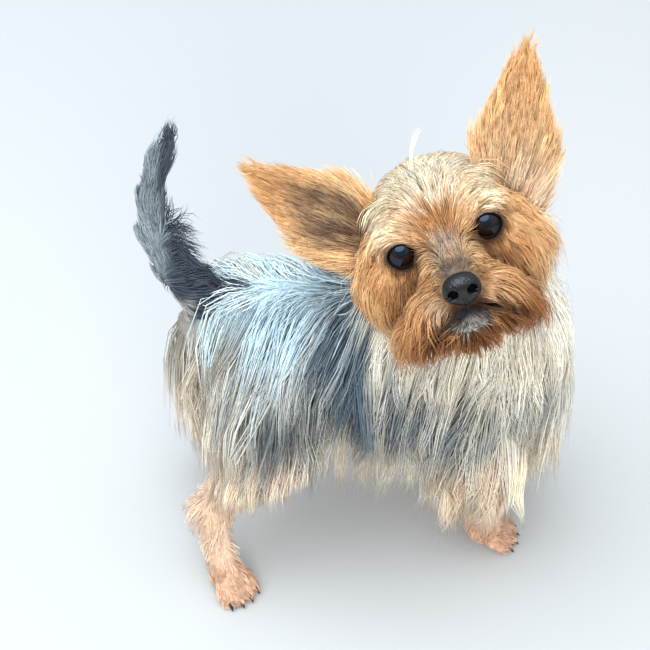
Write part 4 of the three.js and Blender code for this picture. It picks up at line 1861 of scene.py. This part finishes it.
print("ears after", round(time.perf_counter() - started, 1), "s")

# %% [markdown]
# ## Trunk, neck and bib
#
# The long coat parts along the spine and hangs to a hem, which is lowest under the chest. Each strand is
# as long as its way down to the hem, up to a most for its piece. Long hair is where locks show best, so
# it is drawn together more than the face.

# %% Lie and length of the long coat


def body_lie(points, out):
    x, y, _ = points.T
    side = np.tanh((y - 2) / 7)
    top = smoothstep(0.2, 0.9, out[:, 2])
    ways = np.stack([
        (-0.30 - 0.25 * top) * smoothstep(-92, -56, x) + 0.55 * smoothstep(60, 100, x),
        side * (0.25 + 0.9 * top),
        -1.0 + 0.35 * top,
    ], -1)
    ways[:, 1] += -0.25 * smoothstep(70, 100, x) * smoothstep(20, -20, np.abs(y))
    return unit(ways)


# Places along the body, and the height of the hem at each
HEM = ([-104, -84, -62, -40, -26, -12, 20, 50, 90, 120], [104, 82, 72, 84, 92, 66, 60, 56, 46, 54])


def long_lengths(points, most):
    x, _, z = points.T
    fall = z - np.interp(x, *HEM)
    return np.clip(fall * 1.08 + 8, 24, most)


on_ribs = np.array([[0, 30, 150.0]])
print("hair half way down the ribs is", round(float(long_lengths(on_ribs, 88)[0])), "mm long")

# %% Growing the long coat


def grow_long(name, where, count, most, deep, steps=5, pull=(0.15, 0.85), wave=0.06):
    roots, out, label = scatter(where, count)
    length = long_lengths(roots, most) * rng.uniform(0.66, 1.1, len(roots))
    lift = rng.uniform(0.05, 0.35, len(roots)) * (1 - 0.8 * smoothstep(-64, -88, roots[:, 0]))
    layer = deep * rng.uniform(0.05, 1.0, len(roots)) ** 1.2
    layer = layer * (1 - 0.8 * smoothstep(-64, -88, roots[:, 0]))
    path = comb(roots, out, length, body_lie, lift, steps, 0.22, 0.45, layer, hug=0.25, hang=1.0)
    guides = lock_count(roots, 20)
    path, lock = gather(path, rng.uniform(*pull, guides))
    lock_phase = rng.uniform(0, 6.3, guides)[lock]
    lock_height = rng.normal(0.0, wave, guides)[lock] * length
    side = unit(np.cross(path[:, -1] - path[:, 0], out))
    height = lock_height + rng.normal(0, 0.016, len(roots)) * length
    path = ripple(path, height, rng.uniform(0.7, 1.5, guides)[lock], lock_phase, side)
    path[:, :, 2] = np.maximum(path[:, :, 2], 1.0)
    tints = tints_along(path, label, lock, 0.07, 0.17, 0.0, 0.8, 7.0)
    size = 0.5 * rng.uniform(0.65, 1.35, len(roots))
    make_coat(name, path, out, size, tints, around_trunk(roots))


trunk_like = in_groups("trunk")
thigh_like = in_groups("hindleg_right", "hindleg_left") & (tri_middle[:, 2] > 84)
arm_like = in_groups("foreleg_right", "foreleg_left") & (tri_middle[:, 2] > 76)
rear = tri_middle[:, 0] < -18
middle = (tri_middle[:, 0] >= -18) & (tri_middle[:, 0] < 62)
ahead = tri_middle[:, 0] >= 62
on_bib = (trunk_like | arm_like) & ahead
grow_long("coat_rump", (trunk_like | thigh_like) & rear, 6200, 78, 9, steps=4)
grow_long("coat_flanks", (trunk_like | arm_like) & middle, 6200, 88, 11, steps=4)
grow_long("coat_bib", on_bib, 6800, 96, 16, pull=(0.3, 0.92), wave=0.1)
grow_long("coat_neck", in_groups("neck"), 4700, 64, 13, pull=(0.25, 0.9), wave=0.09)
print("long coat after", round(time.perf_counter() - started, 1), "s")

# %% [markdown]
# ## Legs, paws and tail
#
# Legs and paws have short, rather woolly hair that shows their shape. The tail's hair runs up along it
# and is longer on the inside of its curve and at its tip. One helper grows all of them, with rules for
# lie and length handed in.

# %% Short coat


def leg_lie(points, out):
    return unit(np.tile([-0.12, 0.0, -1.0], (len(points), 1)))


def paw_lie(paw):
    _, ahead_way, _ = paw_axes(paw)

    def lie(points, out):
        return np.tile(ahead_way + np.array([0, 0, -0.45]), (len(points), 1))

    return lie


def grow_short(where, count, lengths, lie, width, deep, lift=(0.15, 0.45), gravity=0.1, steps=4):
    """What make_coat needs for a piece of short coat, and its roots."""
    roots, out, label = scatter(where, count)
    length = lengths(roots, out) * rng.uniform(0.7, 1.2, len(roots))
    rise = rng.uniform(*lift, len(roots))
    layer = deep * rng.uniform(0.05, 1.0, len(roots))
    path = comb(roots, out, length, lie, rise, steps, gravity, 0.4, layer)
    path, lock = gather(path, rng.uniform(0.3, 0.8, lock_count(roots, 14)))
    side = unit(np.cross(path[:, -1] - path[:, 0], out))
    swing = rng.normal(0, 0.06, len(roots)) * length
    phase = rng.uniform(0, 6.3, len(roots))
    path = ripple(path, swing, np.full(len(roots), 0.7), phase, side)
    path[:, :, 2] = np.maximum(path[:, :, 2], 0.7)
    tints = tints_along(path, label, lock)
    size = width * rng.uniform(0.75, 1.25, len(roots))
    return path, out, size, tints, roots


def leg_lengths(points, out):
    return 9 + 9 * smoothstep(30, 70, points[:, 2])


def paw_lengths(points, out):
    return 5.5 + 3 * smoothstep(6, 14, points[:, 2])


print("short coat on", int(in_groups("tail", *PAWS).sum()), "triangles of paws and tail")

# %% Legs and paws
low_leg = tri_middle[:, 2] <= 84
legs = in_groups("hindleg_right", "hindleg_left", "foreleg_right", "foreleg_left") & low_leg
path, out, size, tints, roots = grow_short(legs, 3800, leg_lengths, leg_lie, 0.45, 4, steps=3)
unwrap = np.stack([spread_range(roots[:, 0] + 0.5 * roots[:, 1]), spread_range(roots[:, 2])], -1)
make_coat("coat_legs", path, out, size, tints, unwrap)

for paw in PAWS:
    above_sole = in_groups(paw) & (tri_middle[:, 2] > 1.2)
    path, out, size, tints, roots = grow_short(
        above_sole, 900, paw_lengths, paw_lie(paw), 0.42, 1.6, (0.1, 0.35), 0.03, 3)
    unwrap = np.stack([spread_range(roots[:, 0]), spread_range(roots[:, 1])], -1)
    make_coat("coat_" + paw, path, out, size, tints, unwrap)
print("legs and paws after", round(time.perf_counter() - started, 1), "s")

# %% Tail


def tail_lie(points, out):
    up = np.array([-0.25, 0, 1.0]) * np.ones((len(points), 1))
    up[:, 0] += 0.5 * smoothstep(225, 262, points[:, 2])
    inner = smoothstep(-101, -94, points[:, 0]) * smoothstep(250, 226, points[:, 2])
    ways = up + np.array([1.1, 0, -0.9]) * inner[:, None]
    return unit(ways)


def tail_lengths(points, out):
    z = points[:, 2]
    return 12 + 13 * smoothstep(0.0, 0.7, out[:, 0]) * smoothstep(250, 225, z) + 10 * smoothstep(248, 262, z)


path, out, size, tints, roots = grow_short(
    in_groups("tail"), 2600, tail_lengths, tail_lie, 0.5, 1.4, (0.05, 0.22), 0.02, 4)
unwrap = np.stack([spread_range(np.arctan2(out[:, 1], out[:, 0])), spread_range(roots[:, 2])], -1)
make_coat("coat_tail", path, out, size, tints, unwrap)
print("coat ready after", round(time.perf_counter() - started, 1), "s")

# %% [markdown]
# ## Materials
#
# Hair and skin share one effect: the painted tint, made a little lighter and darker by a fine noise. It
# sits in a node group, so that both keep the same markings and a change has to be made only once. The
# surface itself stays plain and rather rough. Silky hair has glints, but strands this thick would
# sparkle like wire.

# %% Colour effect


def coat_effect():
    """Node group: a tint and an amount of streaks go in and a colour comes out."""
    group = bpy.data.node_groups.new("coat colour", "ShaderNodeTree")
    group.interface.new_socket("Tint", in_out="INPUT", socket_type="NodeSocketColor")
    group.interface.new_socket("Streaks", in_out="INPUT", socket_type="NodeSocketFloat")
    group.interface.new_socket("Colour", in_out="OUTPUT", socket_type="NodeSocketColor")
    nodes, links = group.nodes, group.links
    incoming = nodes.new("NodeGroupInput")
    outgoing = nodes.new("NodeGroupOutput")
    place = nodes.new("ShaderNodeTexCoord")
    noise = nodes.new("ShaderNodeTexNoise")
    noise.inputs["Scale"].default_value = 420
    noise.inputs["Detail"].default_value = 2
    links.new(place.outputs["Object"], noise.inputs["Vector"])
    swing = nodes.new("ShaderNodeMapRange")
    swing.inputs["From Min"].default_value = 0.3
    swing.inputs["From Max"].default_value = 0.7
    swing.inputs["To Min"].default_value = -0.5
    swing.inputs["To Max"].default_value = 0.5
    links.new(noise.outputs["Fac"], swing.inputs["Value"])
    weight = nodes.new("ShaderNodeMath")
    weight.operation = "MULTIPLY_ADD"
    weight.inputs[2].default_value = 1.0
    links.new(swing.outputs["Result"], weight.inputs[0])
    links.new(incoming.outputs["Streaks"], weight.inputs[1])
    scale = nodes.new("ShaderNodeVectorMath")
    scale.operation = "SCALE"
    links.new(incoming.outputs["Tint"], scale.inputs[0])
    links.new(weight.outputs[0], scale.inputs["Scale"])
    links.new(scale.outputs["Vector"], outgoing.inputs["Colour"])
    return group


effect = coat_effect()
print("colour effect of", len(effect.nodes), "nodes")

# %% Hair and skin


def tinted_material(name, streaks, roughness, specular):
    material = bpy.data.materials.new(name)
    material.use_nodes = True
    nodes, links = material.node_tree.nodes, material.node_tree.links
    surface = nodes["Principled BSDF"]
    tint = nodes.new("ShaderNodeAttribute")
    tint.attribute_name = "tint"
    colour = nodes.new("ShaderNodeGroup")
    colour.node_tree = effect
    colour.inputs["Streaks"].default_value = streaks
    links.new(tint.outputs["Color"], colour.inputs["Tint"])
    links.new(colour.outputs["Colour"], surface.inputs["Base Color"])
    surface.inputs["Roughness"].default_value = roughness
    surface.inputs["Specular IOR Level"].default_value = specular
    return material


hair_material = tinted_material("hair", 0.2, 0.68, 0.2)
skin_material = tinted_material("skin", 0.3, 0.7, 0.2)
for piece in coat_pieces:
    piece.data.materials.append(hair_material)
skin.data.materials.append(skin_material)
print("hair on", len(coat_pieces), "pieces of coat")

# %% [markdown]
# ## Eye, nose and claw materials
#
# A wet eye is very smooth and mirrors the sky, so its highlight is tinted a little blue. Nose leather
# is a pattern of small cells, a bump from Voronoi cells about a millimetre wide. The rims of the lids
# are nearly dull and the claws smooth like horn.

# %% Eye
eye_material = bpy.data.materials.new("eye")
eye_material.use_nodes = True
eye_surface = eye_material.node_tree.nodes["Principled BSDF"]
eye_tint = eye_material.node_tree.nodes.new("ShaderNodeAttribute")
eye_tint.attribute_name = "tint"
eye_material.node_tree.links.new(eye_tint.outputs["Color"], eye_surface.inputs["Base Color"])
eye_surface.inputs["Roughness"].default_value = 0.06
eye_surface.inputs["Specular IOR Level"].default_value = 0.5
eye_surface.inputs["Specular Tint"].default_value = (0.45, 0.66, 1.0, 1)
for eye in eyes:
    eye.data.materials.append(eye_material)
print("eyes have roughness", round(eye_surface.inputs["Roughness"].default_value, 2))

# %% Nose, rims and claws


def plain_material(name, colour, roughness, bump_scale=0, bump_height=0.0):
    material = bpy.data.materials.new(name)
    material.use_nodes = True
    nodes, links = material.node_tree.nodes, material.node_tree.links
    surface = nodes["Principled BSDF"]
    surface.inputs["Base Color"].default_value = (*colour, 1)
    surface.inputs["Roughness"].default_value = roughness
    if bump_scale:
        place = nodes.new("ShaderNodeTexCoord")
        cells = nodes.new("ShaderNodeTexVoronoi")
        cells.inputs["Scale"].default_value = bump_scale
        bump = nodes.new("ShaderNodeBump")
        bump.inputs["Strength"].default_value = 0.5
        bump.inputs["Distance"].default_value = bump_height
        links.new(place.outputs["Object"], cells.inputs["Vector"])
        links.new(cells.outputs["Distance"], bump.inputs["Height"])
        links.new(bump.outputs["Normal"], surface.inputs["Normal"])
    return material


nose_material = plain_material("nose leather", shade("08080A"), 0.36, 900, 0.0004)
rim_material = plain_material("lid rim", shade("0A0807"), 0.9)
rim_material.node_tree.nodes["Principled BSDF"].inputs["Specular IOR Level"].default_value = 0.1
claw_material = plain_material("claw", shade("231D1A"), 0.35)
nose.data.materials.append(nose_material)
lid_rims.data.materials.append(rim_material)
for claws in paw_claws:
    claws.data.materials.append(claw_material)
print(len(bpy.data.materials), "materials")

# %% [markdown]
# ## Camera
#
# The picture was taken from above: from 880 mm away, looking down by 44 degrees. Its lens is 1600
# pixels long for a picture 650 pixels wide, and a camera takes that as a share of its sensor's width.

# %% Camera
SENSOR_WIDTH = 36
LENS_PIXELS = 1600
PICTURE_PIXELS = 650
CAMERA_DISTANCE = 880
camera_data = bpy.data.cameras.new("camera")
camera_data.lens = SENSOR_WIDTH * LENS_PIXELS / PICTURE_PIXELS
camera_data.sensor_width = SENSOR_WIDTH
camera_data.clip_start = 0.05
camera_data.clip_end = 20
camera = bpy.data.objects.new("camera", camera_data)
bpy.context.scene.collection.objects.link(camera)
CAMERA_PITCH = math.radians(44)
aim = np.array([-15.0, 18.0, 140.0])
look = np.array([0.0, math.cos(CAMERA_PITCH), -math.sin(CAMERA_PITCH)])
camera.location = Vector(to_file(aim - look * CAMERA_DISTANCE))
camera.rotation_euler = (math.pi / 2 - CAMERA_PITCH, 0, 0)
bpy.context.scene.camera = camera
print("camera at", [round(v, 3) for v in camera.location], "m")

# %% [markdown]
# ## Floor and light
#
# A pale, dull floor catches the shadow and some light from below. It is attached to no body, since it is no
# part of the dog. The light is soft, as on an overcast day: a broad cool lamp from above and a slightly warm
# one from in front, on the side of the face. The second lamp isn't mirrored in the eyes, where it would make
# grey discs. The world is brighter overhead than at the horizon.

# %% Floor
FLOOR_HALF = 4
floor_corners = [(x * FLOOR_HALF, y * FLOOR_HALF, 0) for x, y in ((-1, -1), (1, -1), (1, 1), (-1, 1))]
floor_mesh = bpy.data.meshes.new("floor")
floor_mesh.from_pydata(floor_corners, [], [(0, 1, 2, 3)])
floor = bpy.data.objects.new("floor", floor_mesh)
bpy.context.scene.collection.objects.link(floor)
floor.data.materials.append(plain_material("floor", (0.5, 0.5, 0.49), 0.9))
bpy.context.scene.view_settings.view_transform = "Standard"
print("floor of", 2 * FLOOR_HALF, "m")

# %% Lamps


def area_light(name, place, aim_at, size, power, colour):
    data = bpy.data.lights.new(name, "AREA")
    data.shape = "DISK"
    data.size = size
    data.energy = power
    data.color = colour
    lamp = bpy.data.objects.new(name, data)
    lamp.location = place
    way = Vector(aim_at) - Vector(place)
    lamp.rotation_euler = way.to_track_quat("-Z", "Y").to_euler()
    bpy.context.scene.collection.objects.link(lamp)
    return lamp


DOG_MIDDLE = (0, 0, 0.15)
area_light("sky", (-0.5, -0.3, 2.0), DOG_MIDDLE, 2.2, 52, (0.85, 0.93, 1.0))
window = area_light("window", (0.3, -2.1, 1.0), DOG_MIDDLE, 1.3, 37, (1.0, 0.97, 0.92))
window.visible_glossy = False
print("lamps of 52 and 37 W")

# %% World
world = bpy.data.worlds.new("world")
bpy.context.scene.world = world
world.use_nodes = True
world_nodes = world.node_tree.nodes
world_links = world.node_tree.links
backdrop = world_nodes["Background"]
backdrop.inputs["Strength"].default_value = 1.0
direction = world_nodes.new("ShaderNodeTexCoord")
parts = world_nodes.new("ShaderNodeSeparateXYZ")
height_share = world_nodes.new("ShaderNodeMapRange")
height_share.inputs["From Min"].default_value = 0.0
height_share.inputs["From Max"].default_value = 0.9
sky_colours = world_nodes.new("ShaderNodeMix")
sky_colours.data_type = "RGBA"
sky_colours.inputs["A"].default_value = (0.4, 0.39, 0.38, 1)
sky_colours.inputs["B"].default_value = (1.0, 1.12, 1.25, 1)
world_links.new(direction.outputs["Generated"], parts.inputs["Vector"])
world_links.new(parts.outputs["Z"], height_share.inputs["Value"])
world_links.new(height_share.outputs["Result"], sky_colours.inputs["Factor"])
world_links.new(sky_colours.outputs["Result"], backdrop.inputs["Color"])
print("world of", len(world_nodes), "nodes")
